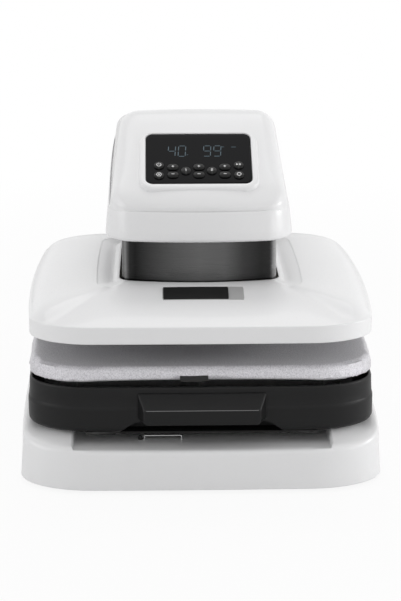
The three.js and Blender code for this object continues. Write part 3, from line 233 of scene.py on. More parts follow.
# %% Booleans and bevels
def block(size, middle):
    """A rough block used to cut with, as an object; size and middle are in millimetres."""
    mesh_data = bmesh.new()
    bmesh.ops.create_cube(mesh_data, size=1)
    bmesh.ops.scale(mesh_data, vec=Vector(size) * MM, verts=mesh_data.verts)
    bmesh.ops.translate(mesh_data, vec=Vector(middle) * MM, verts=mesh_data.verts)
    return make_object("cutter", mesh_data, plain_cutter)


def plug(name, plan, low, high):
    """An upright cutting tool with this outline, from one height to another."""
    return skin(name, stack(plan, [(0, low), (0, high)]), plain_cutter)


def dress(piece, material):
    """Gives a piece one material in place of all it had."""
    piece.data.materials.clear()
    piece.data.materials.append(material)


def settle(piece):
    """Bakes the modifiers of a piece into its mesh."""
    depsgraph = bpy.context.evaluated_depsgraph_get()
    made = bpy.data.meshes.new_from_object(piece.evaluated_get(depsgraph))
    old = piece.data
    piece.modifiers.clear()
    piece.data = made
    bpy.data.meshes.remove(old)


def combine(piece, tools, operation="DIFFERENCE"):
    """Cuts tools out of a piece, or joins them to it, and removes the tools."""
    for tool in tools:
        step = piece.modifiers.new("mill", "BOOLEAN")
        step.operation = operation
        step.solver = "EXACT"
        step.object = tool
    settle(piece)
    for tool in tools:
        bpy.data.objects.remove(tool)
    shade(piece)


def soften(piece, width, segments=3, angle=40):
    """A small bevel on every crease sharper than the angle."""
    bevel = piece.modifiers.new("soft edge", "BEVEL")
    bevel.width = width * MM
    bevel.segments = segments
    bevel.limit_method = "ANGLE"
    bevel.angle_limit = math.radians(angle)
    bevel.use_clamp_overlap = True
    settle(piece)
    shade(piece)


plain_cutter = bpy.data.materials.new("cutter")
print("cutting tools are ready")

# %% [markdown]
# ## Camera, floor and light
#
# The press was photographed from two metres away with a long lens, a little to its left and above
# it. A camera built from that measured place keeps the straight lines of the mouldings straight.
# The floor is a wide disc. Near the press it takes shadows, and further out it fades to plain white.

# %% Camera
scene = bpy.context.scene
CAMERA_PLACE = (-0.051, -2.1955, 0.773)
CAMERA_PITCH = 15.6
CAMERA_YAW = 1.45
LENS = 104.83

camera_data = bpy.data.cameras.new("camera")
camera_data.lens = LENS
camera_data.sensor_width = 36
camera_data.clip_end = 50
camera = bpy.data.objects.new("camera", camera_data)
camera.location = CAMERA_PLACE
camera.rotation_euler = (math.radians(90 - CAMERA_PITCH), 0, math.radians(-CAMERA_YAW))
scene.collection.objects.link(camera)
scene.camera = camera
scene.view_settings.view_transform = "Standard"
print("camera lens", LENS, "mm")

# %% [markdown]
# A finish is a node tree that ends in one Principled shader. The helper below keeps such a tree
# short to write: it makes a node, sets its plain values and joins whatever is handed to a socket.


# %% A short way to write node trees
class Tree:
    """Nodes of a material, a world or a group, made one line at a time."""

    def __init__(self, holder):
        self.nodes = holder.nodes
        self.links = holder.links

    def add(self, kind, values=None, **settings):
        """A node; values gives each input a number, a colour or another output."""
        node = self.nodes.new(kind)
        for key, value in settings.items():
            setattr(node, key, value)
        for key, value in (values or {}).items():
            socket = node.inputs[key]
            if isinstance(value, bpy.types.NodeSocket):
                self.links.new(value, socket)
            else:
                socket.default_value = value
        return node

    def math(self, operation, first, second=0.0):
        """The result of one sum, product or comparison."""
        return self.add("ShaderNodeMath", {0: first, 1: second}, operation=operation).outputs[0]

    def vector(self, operation, first, second):
        """The result of one operation on two vectors."""
        node = self.add("ShaderNodeVectorMath", {0: first, 1: second}, operation=operation)
        return node.outputs[0]

    def place(self):
        """Where a point lies, in the object's own coordinates."""
        return self.add("ShaderNodeTexCoord").outputs["Object"]

    def span(self, value, low, high, to_low=0.0, to_high=1.0):
        """A value moved from one range to another."""
        return self.add("ShaderNodeMapRange", {
            "Value": value, "From Min": low, "From Max": high, "To Min": to_low, "To Max": to_high,
        }).outputs[0]

    def noise(self, scale, detail=2.0, roughness=0.5, place=None):
        """Cloudy noise, in the object's own coordinates unless it gets other ones."""
        return self.add("ShaderNodeTexNoise", {
            "Vector": self.place() if place is None else place,
            "Scale": scale, "Detail": detail, "Roughness": roughness,
        }).outputs[0]

    def mix(self, share, first, second):
        """A colour between two others."""
        values = {0: share, 6: first, 7: second}
        return self.add("ShaderNodeMix", values, data_type="RGBA").outputs[2]

    def ramp(self, value, stops):
        """A ramp of greys: stops is a list of (place, grey)."""
        node = self.add("ShaderNodeValToRGB", {0: value})
        ramp = node.color_ramp
        ramp.elements[0].position, ramp.elements[1].position = stops[0][0], stops[-1][0]
        for place, _ in stops[1:-1]:
            ramp.elements.new(place)
        for element, (_, level) in zip(ramp.elements, stops):
            element.color = (level, level, level, 1)
        return node.outputs[0]


def grey(level, blue=0.0):
    """A neutral colour, with a little more blue if asked."""
    return (level, level, level + blue, 1)


print("node trees are written with", Tree.__name__)

# %% [markdown]
# The floor takes light and soft shadows from its shader, and a share of plain white is mixed in for
# the camera alone. The world is brighter for the camera and in reflections than it is as a lamp, so
# that the backdrop is white while the mouldings keep their shading.

# %% Floor and surroundings
FLOOR_RADIUS = 9
FLOOR_FADE = (0.75, 1.6)
FLOOR_WHITE = 0.9
WORLD_LEVEL = 0.58

floor_data = bmesh.new()
bmesh.ops.create_circle(floor_data, cap_ends=True, segments=96, radius=FLOOR_RADIUS)
floor_finish = bpy.data.materials.new("floor")
floor_finish.use_nodes = True
tree = Tree(floor_finish.node_tree)
floor_shader = tree.nodes["Principled BSDF"]
floor_shader.inputs["Base Color"].default_value = grey(FLOOR_WHITE)
floor_shader.inputs["Roughness"].default_value = 0.6
reach = tree.add("ShaderNodeVectorMath", {0: tree.place()}, operation="LENGTH").outputs["Value"]
fade = tree.span(reach, *FLOOR_FADE, FLOOR_WHITE, 1.0)
seen = tree.math("MULTIPLY", tree.add("ShaderNodeLightPath").outputs["Is Camera Ray"], fade)
glow = tree.add("ShaderNodeEmission", {"Color": grey(1.0), "Strength": 1.0}).outputs[0]
blend_node = tree.add("ShaderNodeMixShader", {0: seen, 1: floor_shader.outputs[0], 2: glow})
tree.links.new(blend_node.outputs[0], tree.nodes["Material Output"].inputs[0])
floor = make_object("floor", floor_data, floor_finish)

world = bpy.data.worlds.new("studio")
scene.world = world
world.use_nodes = True
tree = Tree(world.node_tree)
rays = tree.add("ShaderNodeLightPath").outputs
sharp_rays = tree.math("MAXIMUM", rays["Is Camera Ray"], rays["Is Transmission Ray"])
sharp_rays = tree.math("MAXIMUM", sharp_rays, rays["Is Glossy Ray"])
level = tree.span(sharp_rays, 0.0, 1.0, WORLD_LEVEL, 1.0)
tree.links.new(level, tree.nodes["Background"].inputs["Strength"])
tree.nodes["Background"].inputs["Color"].default_value = grey(1.0)
print("floor radius", FLOOR_RADIUS, "m, world level", WORLD_LEVEL)

# %% [markdown]
# Three large lamps light the press as a photographer's tent would: one above and behind it, and one
# at each side. Two small ones reach into the gap over the pad and the front of the base.


# %% Lamps
def softbox(name, place, aim, size, energy):
    """A rectangular lamp that points at a place; size in metres, energy in watts."""
    data = bpy.data.lights.new(name, "AREA")
    data.shape = "RECTANGLE"
    data.size, data.size_y = size
    data.energy = energy
    lamp = bpy.data.objects.new(name, data)
    lamp.location = place
    lamp.rotation_euler = (Vector(aim) - Vector(place)).to_track_quat("-Z", "Y").to_euler()
    scene.collection.objects.link(lamp)


TARGET = (0, 0, 0.2)
softbox("overhead", (-0.2, 0.75, 2.5), TARGET, (2.4, 1.4), 14)
softbox("window_left", (-2.4, -0.9, 1.1), TARGET, (1.4, 1.8), 12)
softbox("window_right", (2.4, -0.5, 1.0), TARGET, (1.4, 1.8), 10)
softbox("low_right", (1.5, -0.35, 0.44), (0.14, -0.05, 0.14), (0.25, 0.12), 3.5)
softbox("low_front", (1.6, -1.15, 0.3), (0, -0.2, 0.1), (0.3, 0.3), 0.9)

# %% [markdown]
# ## Effects that several finishes share
#
# Moulded plastic has a very fine grain, metal shows the strokes of a brush, cloth has a weave, and
# dust settles on whatever faces up. Each of these is one node group that puts out a height, a mask
# or a shade, so that a material can place it with its own values. Image textures could do this too,
# but a computed pattern stays sharp at any distance and needs no picture.


# %% Shared node groups
def new_group(name, inputs, outputs):
    """A node group with number inputs (name, value) and number outputs."""
    group = bpy.data.node_groups.new(name, "ShaderNodeTree")
    for label, value in inputs:
        socket = group.interface.new_socket(label, in_out="INPUT", socket_type="NodeSocketFloat")
        socket.default_value = value
    for label in outputs:
        group.interface.new_socket(label, in_out="OUTPUT", socket_type="NodeSocketFloat")
    tree = Tree(group)
    return group, tree, tree.add("NodeGroupInput"), tree.add("NodeGroupOutput")


# Grain: the spark-eroded texture of a mould, with slower waves of tone.
moulded_grain, tree, given, result = new_group("moulded_grain", [("Size mm", 0.6)], ["Height", "Tone"])
scale = tree.math("DIVIDE", 1000.0, given.outputs["Size mm"])
tree.links.new(tree.noise(scale), result.inputs["Height"])
tree.links.new(tree.noise(9.0, detail=3.0), result.inputs["Tone"])

# Dust: a mask that is strong on faces that look up and breaks into patches.
settled_dust, tree, given, result = new_group("settled_dust", [("Amount", 0.5)], ["Mask"])
normal = tree.add("ShaderNodeNewGeometry").outputs["Normal"]
up = tree.span(tree.add("ShaderNodeSeparateXYZ", {0: normal}).outputs[2], 0.45, 1.0)
patch = tree.span(tree.noise(35.0, detail=6.0, roughness=0.7), 0.42, 0.75)
dusty = tree.math("MULTIPLY", tree.math("MULTIPLY", up, patch), given.outputs["Amount"])
tree.links.new(dusty, result.inputs["Mask"])

# Wear and painted highlight: lighter edges that stand out, broken up by noise; on the black plastic they
# stand mostly for a painted highlight.
edge_wear_and_highlight, tree, given, result = new_group("edge_wear_and_highlight", [("Amount", 0.5)], ["Mask"])
edge = tree.span(tree.add("ShaderNodeNewGeometry").outputs["Pointiness"], 0.53, 0.62)
broken = tree.span(tree.noise(160.0, detail=5.0), 0.3, 0.55)
worn_and_highlit = tree.math("MULTIPLY", tree.math("MULTIPLY", edge, broken), given.outputs["Amount"])
tree.links.new(worn_and_highlit, result.inputs["Mask"])

print("groups for plastics:", [g.name for g in bpy.data.node_groups])

# %% [markdown]
# Metal and cloth have a direction. Brushed strokes are ordinary noise in coordinates that are
# stretched by a different amount along each axis. A weave is two waves that cross, with a slow
# wander so that no thread is dead straight.

# %% Brush and weave
# Brush: long thin strokes along one axis, chosen by the three stretches.
brushed, tree, given, result = new_group(
    "brushed", [("Across X", 900.0), ("Across Y", 900.0), ("Across Z", 14.0)], ["Height", "Tone"]
)
joined = tree.add("ShaderNodeCombineXYZ", {i: given.outputs[i] for i in range(3)}).outputs[0]
drawn_out = tree.vector("MULTIPLY", tree.place(), joined)
stroke = tree.noise(1.0, detail=4.0, roughness=0.65, place=drawn_out)
tree.links.new(stroke, result.inputs["Height"])
tree.links.new(tree.ramp(stroke, [(0.3, 0.0), (0.7, 1.0)]), result.inputs["Tone"])

# Weave: threads that pass over and under each other in X and Y, and hang on side faces in Z.
plain_weave, tree, given, result = new_group("plain_weave", [("Thread mm", 0.7)], ["Height", "Tone"])
THREAD_WANDER = 0.0016
place = tree.place()
bend = tree.add("ShaderNodeTexNoise", {"Vector": place, "Scale": 22.0}).outputs["Color"]
place = tree.vector("ADD", place, tree.vector("MULTIPLY", bend, (THREAD_WANDER,) * 3))
split = tree.add("ShaderNodeSeparateXYZ", {0: place})
turn = tree.math("DIVIDE", 1000.0 * math.pi, given.outputs["Thread mm"])
down = tree.math("ADD", split.outputs[1], split.outputs[2])
warp = tree.math("SINE", tree.math("MULTIPLY", split.outputs[0], turn))
weft = tree.math("SINE", tree.math("MULTIPLY", down, turn))
cross = tree.math("MULTIPLY", warp, weft)
height = tree.math("ADD", tree.math("MULTIPLY", cross, 0.5), 0.5)
fuzz = tree.noise(900.0, detail=3.0, place=place)
height = tree.math("ADD", height, tree.math("MULTIPLY", fuzz, 0.6))
tree.links.new(height, result.inputs["Height"])
tree.links.new(tree.noise(620.0, detail=3.0, roughness=0.7, place=place), result.inputs["Tone"])
print("groups:", [g.name for g in bpy.data.node_groups])

# %% [markdown]
# ## Finishes
#
# Each finish below follows what the real surface shows: satin white plastic, near-black textured
# plastic, a glossy black panel, dark polished steel, zinc, cast aluminium and the silver cloth of
# the pad. A number that is the same all over a surface sits on the shader itself.


# %% Finish helper
class Finish(Tree):
    """A material with one Principled shader and the nodes that feed it."""

    def __init__(self, name, roughness=0.5, metallic=0.0, coat=0.0, specular=0.5):
        self.material = bpy.data.materials.new(name)
        self.material.use_nodes = True
        super().__init__(self.material.node_tree)
        self.shader = self.nodes["Principled BSDF"]
        self.feed("Roughness", roughness)
        self.feed("Metallic", metallic)
        self.feed("Coat Weight", coat)
        self.feed("Specular IOR Level", specular)

    def use(self, group, **values):
        """Places a shared node group; an underscore in a name stands for a space."""
        node = self.add("ShaderNodeGroup", node_tree=group)
        for key, value in values.items():
            node.inputs[key.replace("_", " ")].default_value = value
        return node

    def feed(self, socket, value):
        """Joins an output to the shader, or sets a plain value there."""
        if isinstance(value, bpy.types.NodeSocket):
            self.links.new(value, self.shader.inputs[socket])
        else:
            self.shader.inputs[socket].default_value = value

    def bump(self, height, depth_mm):
        """Raises the surface by a height of at most depth_mm."""
        node = self.add("ShaderNodeBump", {"Height": height, "Strength": 1.0, "Distance": depth_mm * MM})
        self.feed("Normal", node.outputs[0])

    def spread(self, value, low, high):
        """A value from 0 to 1 moved to another range."""
        return self.span(value, 0.0, 1.0, low, high)


def tinted(colour, factor, extra=0.0):
    """A colour made darker or lighter."""
    return tuple(min(1, c * factor + extra) for c in colour[:3]) + (1,)


print("half as bright as white:", tinted(grey(1.0), 0.5))

# %% [markdown]
# A moulded plastic starts from its own colour, a shade darker where the slow noise is low. Edges are
# lighter by a set amount, which is wear on most plastics and mostly a painted highlight on the black
# tray plastic; dust lies on top, and the fine grain moves both the roughness and the surface itself.


# %% Plastics
def plastic(
    name, colour, dust_colour, grain_mm, grain_depth, roughness,
    coat=0.0, dust=0.12, wear_and_highlight=0.3, specular=0.5, edge=0.01,
):
    """Moulded plastic with grain, slow changes of tone, dust and lighter edges, worn or with a painted
    highlight.
    """
    finish = Finish(name, roughness=roughness[0], coat=coat, specular=specular)
    grain = finish.use(moulded_grain, Size_mm=grain_mm)
    tone = finish.mix(grain.outputs["Tone"], tinted(colour, 0.965), colour)
    edges = finish.use(edge_wear_and_highlight, Amount=wear_and_highlight).outputs[0]
    worn_and_highlit = finish.mix(edges, tone, tinted(colour, 1.2, edge))
    dusty = finish.mix(finish.use(settled_dust, Amount=dust).outputs[0], worn_and_highlit, dust_colour)
    finish.feed("Base Color", dusty)
    finish.feed("Roughness", finish.spread(grain.outputs["Height"], *roughness))
    finish.bump(grain.outputs["Height"], grain_depth)
    return finish


white_shell = plastic(
    "white_shell", grey(0.86, 0.006), grey(0.8), 0.9, 0.012, (0.24, 0.34), coat=0.25, dust=0.02, wear_and_highlight=0.1
)
# The black tray plastic's lighter edges are mostly a painted highlight where rounded edges catch light,
# with a little wear.
black_tray = plastic(
    "black_tray", grey(0.0075, 0.0003), grey(0.1), 0.7, 0.05, (0.34, 0.46),
    dust=0.02, wear_and_highlight=0.5, specular=0.23, edge=0.1,
)
# A mid grey plastic for the painted highlight on the handle's upper edge.
highlight_plastic = plastic(
    "highlight_plastic", grey(0.2), grey(0.2), 0.7, 0.03, (0.3, 0.4), dust=0.02, wear_and_highlight=0.3, specular=0.3
)
button_plastic = plastic(
    "button_plastic", grey(0.007), grey(0.06), 0.4, 0.012, (0.3, 0.42),
    dust=0.02, wear_and_highlight=0.5, specular=0.2, edge=0.03,
)
panel_gloss = plastic(
    "panel_gloss", grey(0.003, 0.0008), grey(0.03), 6.0, 0.004, (0.08, 0.16),
    dust=0.01, wear_and_highlight=0.05, specular=0.06,
)
rocker_plastic = plastic(
    "rocker_plastic", grey(0.02), grey(0.1), 0.5, 0.02, (0.35, 0.5), dust=0.06, wear_and_highlight=0.5
)
foot_rubber = plastic(
    "foot_rubber", grey(0.022), grey(0.2), 0.8, 0.09, (0.75, 0.9), dust=0.3, wear_and_highlight=0.6
)
label_dark = plastic(
    "label_dark", grey(0.008), grey(0.06), 0.5, 0.008, (0.3, 0.42), dust=0.04, wear_and_highlight=0.1, specular=0.2
)
label_pale = plastic(
    "label_pale", grey(0.42), grey(0.5), 0.5, 0.008, (0.3, 0.42), dust=0.06, wear_and_highlight=0.1
)
print("plastics:", len(bpy.data.materials))

# %% [markdown]
# Metal shows the strokes of its making, so a brushed noise moves its colour, roughness and surface
# together. The shroud is polished sheet that mirrors a dark room, and its bands across X are painted
# reflections: a ramp in the base colour, because the lit room here is plainer than the one it stood in.


# %% Metals
def metal(name, colour, roughness, strokes, stroke_depth, metallic=1.0, wear_and_highlight=0.4):
    """Metal with the strokes of its making and brighter edges."""
    finish = Finish(name, roughness=roughness[0], metallic=metallic)
    brush = finish.use(brushed, Across_X=strokes[0], Across_Y=strokes[1], Across_Z=strokes[2])
    tone = finish.mix(brush.outputs["Tone"], tinted(colour, 0.82), colour)
    edges = finish.use(edge_wear_and_highlight, Amount=wear_and_highlight).outputs[0]
    finish.feed("Base Color", finish.mix(edges, tone, tinted(colour, 1.35, 0.03)))
    finish.feed("Roughness", finish.spread(brush.outputs["Tone"], *roughness))
    finish.bump(brush.outputs["Height"], stroke_depth)
    return finish


frame_steel = metal(
    "frame_steel", grey(0.06), (0.5, 0.65), (120, 120, 120), 0.08, metallic=0.3, wear_and_highlight=0.8
)
zinc_steel = metal("zinc_steel", grey(0.5, 0.012), (0.26, 0.4), (60, 8, 60), 0.01)
platen_alloy = metal("platen_alloy", grey(0.56, 0.01), (0.3, 0.42), (900, 12, 900), 0.012)
bronze = metal("bronze", (0.5, 0.33, 0.13, 1), (0.28, 0.4), (30, 30, 1200), 0.01)
chrome_wire = metal("chrome_wire", grey(0.78), (0.06, 0.14), (200, 900, 900), 0.002)

shroud_steel = Finish("shroud_steel", roughness=0.26, metallic=1.0)
strokes = shroud_steel.use(brushed, Across_X=18.0, Across_Y=18.0, Across_Z=1400.0)
SHROUD_HALF = 0.0945
side = shroud_steel.add("ShaderNodeSeparateXYZ", {0: shroud_steel.place()}).outputs[0]
# Painted reflections: grey levels across the shroud's width, dark where it would mirror a dark room and
# bright near its corners.
SHROUD_PAINTED_REFLECTIONS = [
    (0.0, 0.1), (0.006, 0.1), (0.013, 0.22), (0.022, 0.24), (0.033, 0.1), (0.05, 0.035),
    (0.085, 0.02), (0.2, 0.065), (0.35, 0.12), (0.5, 0.155), (0.66, 0.14), (0.78, 0.06),
    (0.9, 0.03), (0.955, 0.035), (0.968, 0.08), (0.98, 0.24), (1.0, 0.55),
]
painted_reflections = shroud_steel.ramp(shroud_steel.span(side, -SHROUD_HALF, SHROUD_HALF), SHROUD_PAINTED_REFLECTIONS)
streaks = shroud_steel.math("MULTIPLY", strokes.outputs["Tone"], 0.14)
shroud_steel.feed("Base Color", shroud_steel.mix(streaks, painted_reflections, grey(0.02)))
shroud_steel.feed("Roughness", shroud_steel.spread(strokes.outputs["Tone"], 0.2, 0.3))
shroud_steel.bump(strokes.outputs["Height"], 0.004)
print("metals and plastics:", len(bpy.data.materials))

# %% [markdown]
# The pad's cloth is woven from silver-coated yarn: partly metallic, speckled by the slubs of its
# threads, with a little sheen at grazing angles. The foam, the felt, the printed boards and the ink
# each take one small pattern of their own.

# %% Cloth, foam, felt, board, light and ink
silver_cloth = Finish("silver_cloth", roughness=0.45, metallic=0.35, specular=0.4)
threads = silver_cloth.use(plain_weave, Thread_mm=0.75)
silver_speck = silver_cloth.ramp(threads.outputs["Tone"], [(0.34, 0.0), (0.5, 0.62), (0.66, 1.0)])
silver_tone = silver_cloth.mix(silver_speck, (0.5, 0.49, 0.52, 1), (0.86, 0.85, 0.88, 1))
silver_tone = silver_cloth.mix(threads.outputs["Height"], (0.58, 0.57, 0.6, 1), silver_tone)
silver_cloth.feed("Base Color", silver_tone)
silver_cloth.feed("Roughness", silver_cloth.spread(threads.outputs["Tone"], 0.34, 0.5))
silver_cloth.feed("Sheen Weight", 0.35)
silver_cloth.feed("Sheen Roughness", 0.4)
silver_cloth.bump(threads.outputs["Height"], 0.22)

tag_cloth = Finish("tag_cloth", roughness=0.8)
threads = tag_cloth.use(plain_weave, Thread_mm=0.4)
tag_cloth.feed("Base Color", tag_cloth.mix(threads.outputs["Tone"], grey(0.008), grey(0.03)))
tag_cloth.bump(threads.outputs["Height"], 0.1)

foam = Finish("foam", roughness=0.95, specular=0.2)
cells = foam.add("ShaderNodeTexVoronoi", {"Vector": foam.place(), "Scale": 700.0}).outputs[0]
foam.feed("Base Color", foam.mix(cells, (0.62, 0.57, 0.44, 1), (0.78, 0.74, 0.62, 1)))
foam.bump(cells, 0.6)

insulation = Finish("insulation", roughness=0.95, specular=0.2)
felt = insulation.noise(420.0, detail=8.0)
insulation.feed("Base Color", insulation.mix(felt, (0.55, 0.53, 0.47, 1), (0.82, 0.81, 0.77, 1)))
insulation.bump(felt, 0.5)

board = Finish("board", roughness=0.35, coat=0.4)
board_place = board.vector("MULTIPLY", board.place(), (220.0, 220.0, 220.0))
bricks = board.add("ShaderNodeTexBrick", {"Vector": board_place, "Scale": 1.0, "Mortar Size": 0.05})
tracks = bricks.outputs["Fac"]
board.feed("Base Color", board.mix(tracks, (0.012, 0.075, 0.03, 1), (0.05, 0.2, 0.09, 1)))
board.feed("Metallic", board.math("MULTIPLY", tracks, 0.3))
board.bump(tracks, 0.04)

digit_glow = Finish("digit_glow", roughness=0.3)
digit_glow.feed("Base Color", (0.01, 0.03, 0.04, 1))
glimmer = digit_glow.mix(
    digit_glow.noise(300.0), (0.008, 0.023, 0.034, 1), (0.013, 0.038, 0.054, 1)
)
digit_glow.feed("Emission Color", glimmer)
digit_glow.feed("Emission Strength", 1.0)

icon_ink = Finish("icon_ink", roughness=0.5)
ink_tone = icon_ink.use(moulded_grain, Size_mm=0.2)
icon_ink.feed("Base Color", icon_ink.mix(ink_tone.outputs["Tone"], grey(0.75), grey(0.9)))
icon_ink.bump(ink_tone.outputs["Height"], 0.01)

print("finishes:", len(bpy.data.materials))

# %% [markdown]
# ## Base moulding
#
# The base is one injection-moulded shell: a leaning skirt, a flat lane for the drawer and two rails
# beside it that ramp down to the front. It could be modelled from a subdivided box, but its outline
# has measured corners, so it is a stack of outlines whose top ring climbs with a rule. The lane is
# then milled out with a tool that has the generous radius of the real edges and follows the ramp.

# %% Base outline and rails
BASE = Plan(444, BASE_DEPTH, 56, 84, side_bow=8, front_bow=3, rear_bow=3)
SKIRT_LOW = 4
SKIRT_LEAN = 3
RAIL_TOP = 67
RAMP_RUN = 33
RAMP_STEP = 0.4
LANE_HALF = 152
LANE_LIP = 8
LANE_EDGE = 5
WALL = 3


def smooth(value):
    """A share from 0 to 1 that starts and ends gently."""
    value = min(1.0, max(0.0, value))
    return value * value * (3 - 2 * value)


def rail_rule(inward, sunk=0.0):
    """Height of the rails this far inside the outline: level at the sides, ramped at the front."""
    def rule(x, y):
        behind = y - from_front(0) - inward
        edge = DECK_TOP + RAMP_STEP + (RAIL_TOP - DECK_TOP) * smooth((behind - 14) / 62)
        height = edge + (RAIL_TOP - edge) * min(1, inward / RAMP_RUN)
        if inward < LANE_LIP:
            height = DECK_TOP + (height - DECK_TOP) * smooth((abs(x) - 130) / 18)
        return height - sunk
    return rule


def base_rings():
    """Outlines of the base from its foot, up the skirt and over the rails."""
    rings = [ring(BASE.drawn_in(0.8), SKIRT_LOW), ring(BASE, SKIRT_LOW + 0.9)]
    for share in (0.3, 0.6, 0.88):
        height = SKIRT_LOW + (DECK_TOP - SKIRT_LOW) * share * 0.9
        rings.append(ring(BASE.drawn_in(SKIRT_LEAN * share), height))
    for inset, drop in ((0, 5.2), (0.4, 3.4), (1.3, 1.8), (2.9, 0.6), (5, 0.05), (7, 0.0)):
        rings.append(ring(BASE.drawn_in(SKIRT_LEAN + inset), rail_rule(inset, drop)))
    for inward in (14, 22, 30, 36, 50):
        rings.append(ring(BASE.drawn_in(SKIRT_LEAN + inward), rail_rule(inward)))
    return rings


def lane_section(y):
    """Section of the lane at one depth: flat floor, upright sides, a round edge on the rails."""
    ramp = min(1, max(0, (y - from_front(6)) / RAMP_RUN))
    rail = DECK_TOP + RAMP_STEP + (RAIL_TOP - DECK_TOP - RAMP_STEP) * ramp
    radius = min(LANE_EDGE, rail - DECK_TOP - 0.1)
    foot = min(2.0, (rail - DECK_TOP) * 0.2)
    side = [(LANE_HALF - foot, DECK_TOP + 0.02)]
    side += [(LANE_HALF - foot * 0.3, DECK_TOP + foot * 0.3), (LANE_HALF, DECK_TOP + foot)]
    for step in range(7):
        angle = math.radians(90 * step / 6)
        out, up = radius * (1 - math.cos(angle)), radius * math.sin(angle)
        side.append((LANE_HALF + out, rail - radius + up))
    side.append((LANE_HALF + radius, RAIL_TOP + 30))
    outline = side + [(-x, z) for x, z in reversed(side)]
    return [Vector((x, y, z)) for x, z in outline]


base = skin("base_moulding", base_rings(), white_shell.material)
RAMP_STOPS = (3, 6, 8, 10, 13, 16, 20, 25, 30, 35, 39, 41)
lane_stops = [-320] + [from_front(depth) for depth in RAMP_STOPS] + [320]
combine(base, [skin("lane", [lane_section(y) for y in lane_stops], plain_cutter)])
print("base moulding:", len(base.data.polygons), "faces")

# %% [markdown]
# The shell is hollow and the power entry sits in a pocket at the rear. The soft edges were drawn
# with the outlines, so both can be milled out now and no bevel has to follow the thin walls.

# %% Hollow and entry pocket
ENTRY_X, ENTRY_WIDTH, ENTRY_HEIGHT, ENTRY_DEPTH = -6, 132, 32, 6
ENTRY_MIDDLE = (SKIRT_LOW + DECK_TOP) / 2
ENTRY_RIM = 2.2
REAR = BASE_DEPTH / 2
inside = BASE.drawn_in(WALL)
hollow_rows = [(0, SKIRT_LOW - 2), (3, DECK_TOP - 9), (9, DECK_TOP - WALL)]
hollow = skin("hollow", stack(inside, hollow_rows), plain_cutter)
combine(hollow, [block((ENTRY_WIDTH + 6, 18, 60), (ENTRY_X, REAR - 9, ENTRY_MIDDLE))])
holes = [hollow]
holes.append(block((ENTRY_WIDTH, 20, ENTRY_HEIGHT), (ENTRY_X, REAR + 10 - ENTRY_DEPTH, ENTRY_MIDDLE)))
for low, high in (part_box("power_inlet"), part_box("switch_bezel")):
    middle, size = (low + high) / 2 / MM, (high - low) / MM
    opening = (size.x - 2 * ENTRY_RIM, 60, size.z - 2 * ENTRY_RIM)
    holes.append(block(opening, (middle.x, REAR - 30, middle.z)))
combine(base, holes)
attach(base, "stand")
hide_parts("base_shell")
print("base with pocket:", len(base.data.polygons), "faces")

# %% [markdown]
# ## Catch and bumper
#
# A chrome wire staple stands in the lane, perhaps a catch or a stop for the drawer, with a small
# black stud beside it. The wire is a round section swept along a bent path, as the real one is bent
# from rod, and the stud is turned, as on a lathe.


# %% Swept wire and stud
def sweep(name, points, radius, material, sides=12):
    """A round wire along a path of points, in millimetres, with closed ends."""
    rings = []
    for index, point in enumerate(points):
        before, after = points[max(0, index - 1)], points[min(len(points) - 1, index + 1)]
        along = (after - before).normalized()
        across = Vector((0, 1, 0))
        up = along.cross(across).normalized()
        rings.append([
            point + radius * (math.cos(a) * across + math.sin(a) * up)
            for a in (2 * math.pi * s / sides for s in range(sides))
        ])
    return skin(name, rings, material)


def rounded(before, here, after, size, steps=6):
    """The points of a soft bend that begins this far before a corner."""
    start = here + (before - here).normalized() * size
    end = here + (after - here).normalized() * size
    shares = [step / steps for step in range(steps + 1)]
    return [start * (1 - t) ** 2 + here * 2 * t * (1 - t) + end * t * t for t in shares]


def bent_path(corners, size):
    """Straight runs joined by round bends."""
    path = [corners[0]]
    for before, here, after in zip(corners, corners[1:], corners[2:]):
        path += rounded(before, here, after, size)
    return path + [corners[-1]]


catch_low, catch_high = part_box("catch_staple")
WIRE = 0.85
catch_y = (catch_low.y + catch_high.y) / 2 / MM
left_x, right_x = catch_low.x / MM + WIRE, catch_high.x / MM - WIRE
catch_top = catch_high.z / MM - WIRE
corners = [Vector((x, catch_y, z)) for x, z in (
    (left_x, DECK_TOP - 1), (left_x, catch_top), (right_x, catch_top), (right_x, DECK_TOP - 1),
)]
staple = sweep("catch_wire", bent_path(corners, 1.8), WIRE, chrome_wire.material)
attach(staple, "stand")
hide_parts("catch_staple")


def turned(name, profile, middle, material, steps=32):
    """A piece turned on a lathe: profile is (radius, height) from one end to the other."""
    rings = [
        [Vector((middle[0] + r * math.cos(a), middle[1] + r * math.sin(a), middle[2] + z))
         for a in (2 * math.pi * s / steps for s in range(steps))]
        for r, z in profile
    ]
    return skin(name, rings, material)


STUD = [
    (0.3, 4.6), (1.2, 4.5), (2.0, 4.0), (2.4, 3.2), (2.4, 1.2), (2.9, 0.8), (3.1, 0.3), (3.1, -0.4),
    (0.3, -0.4),
]
stud = turned("bumper_stud", STUD, (left_x - 4.6, catch_y + 1.5, DECK_TOP), foot_rubber.material)
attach(stud, "stand")
print("staple spans", round(right_x - left_x, 1), "mm")

# %% [markdown]
# ## Drawer tray
#
# The tray is a deep dish of near-black plastic. Its wall leans in above a faint crease, its rim is
# thick and round, and the front has a shallow field with the handle on it and a scoop below for the
# fingers. Outlines make the dish and two shaped tools mill the field and the scoop.

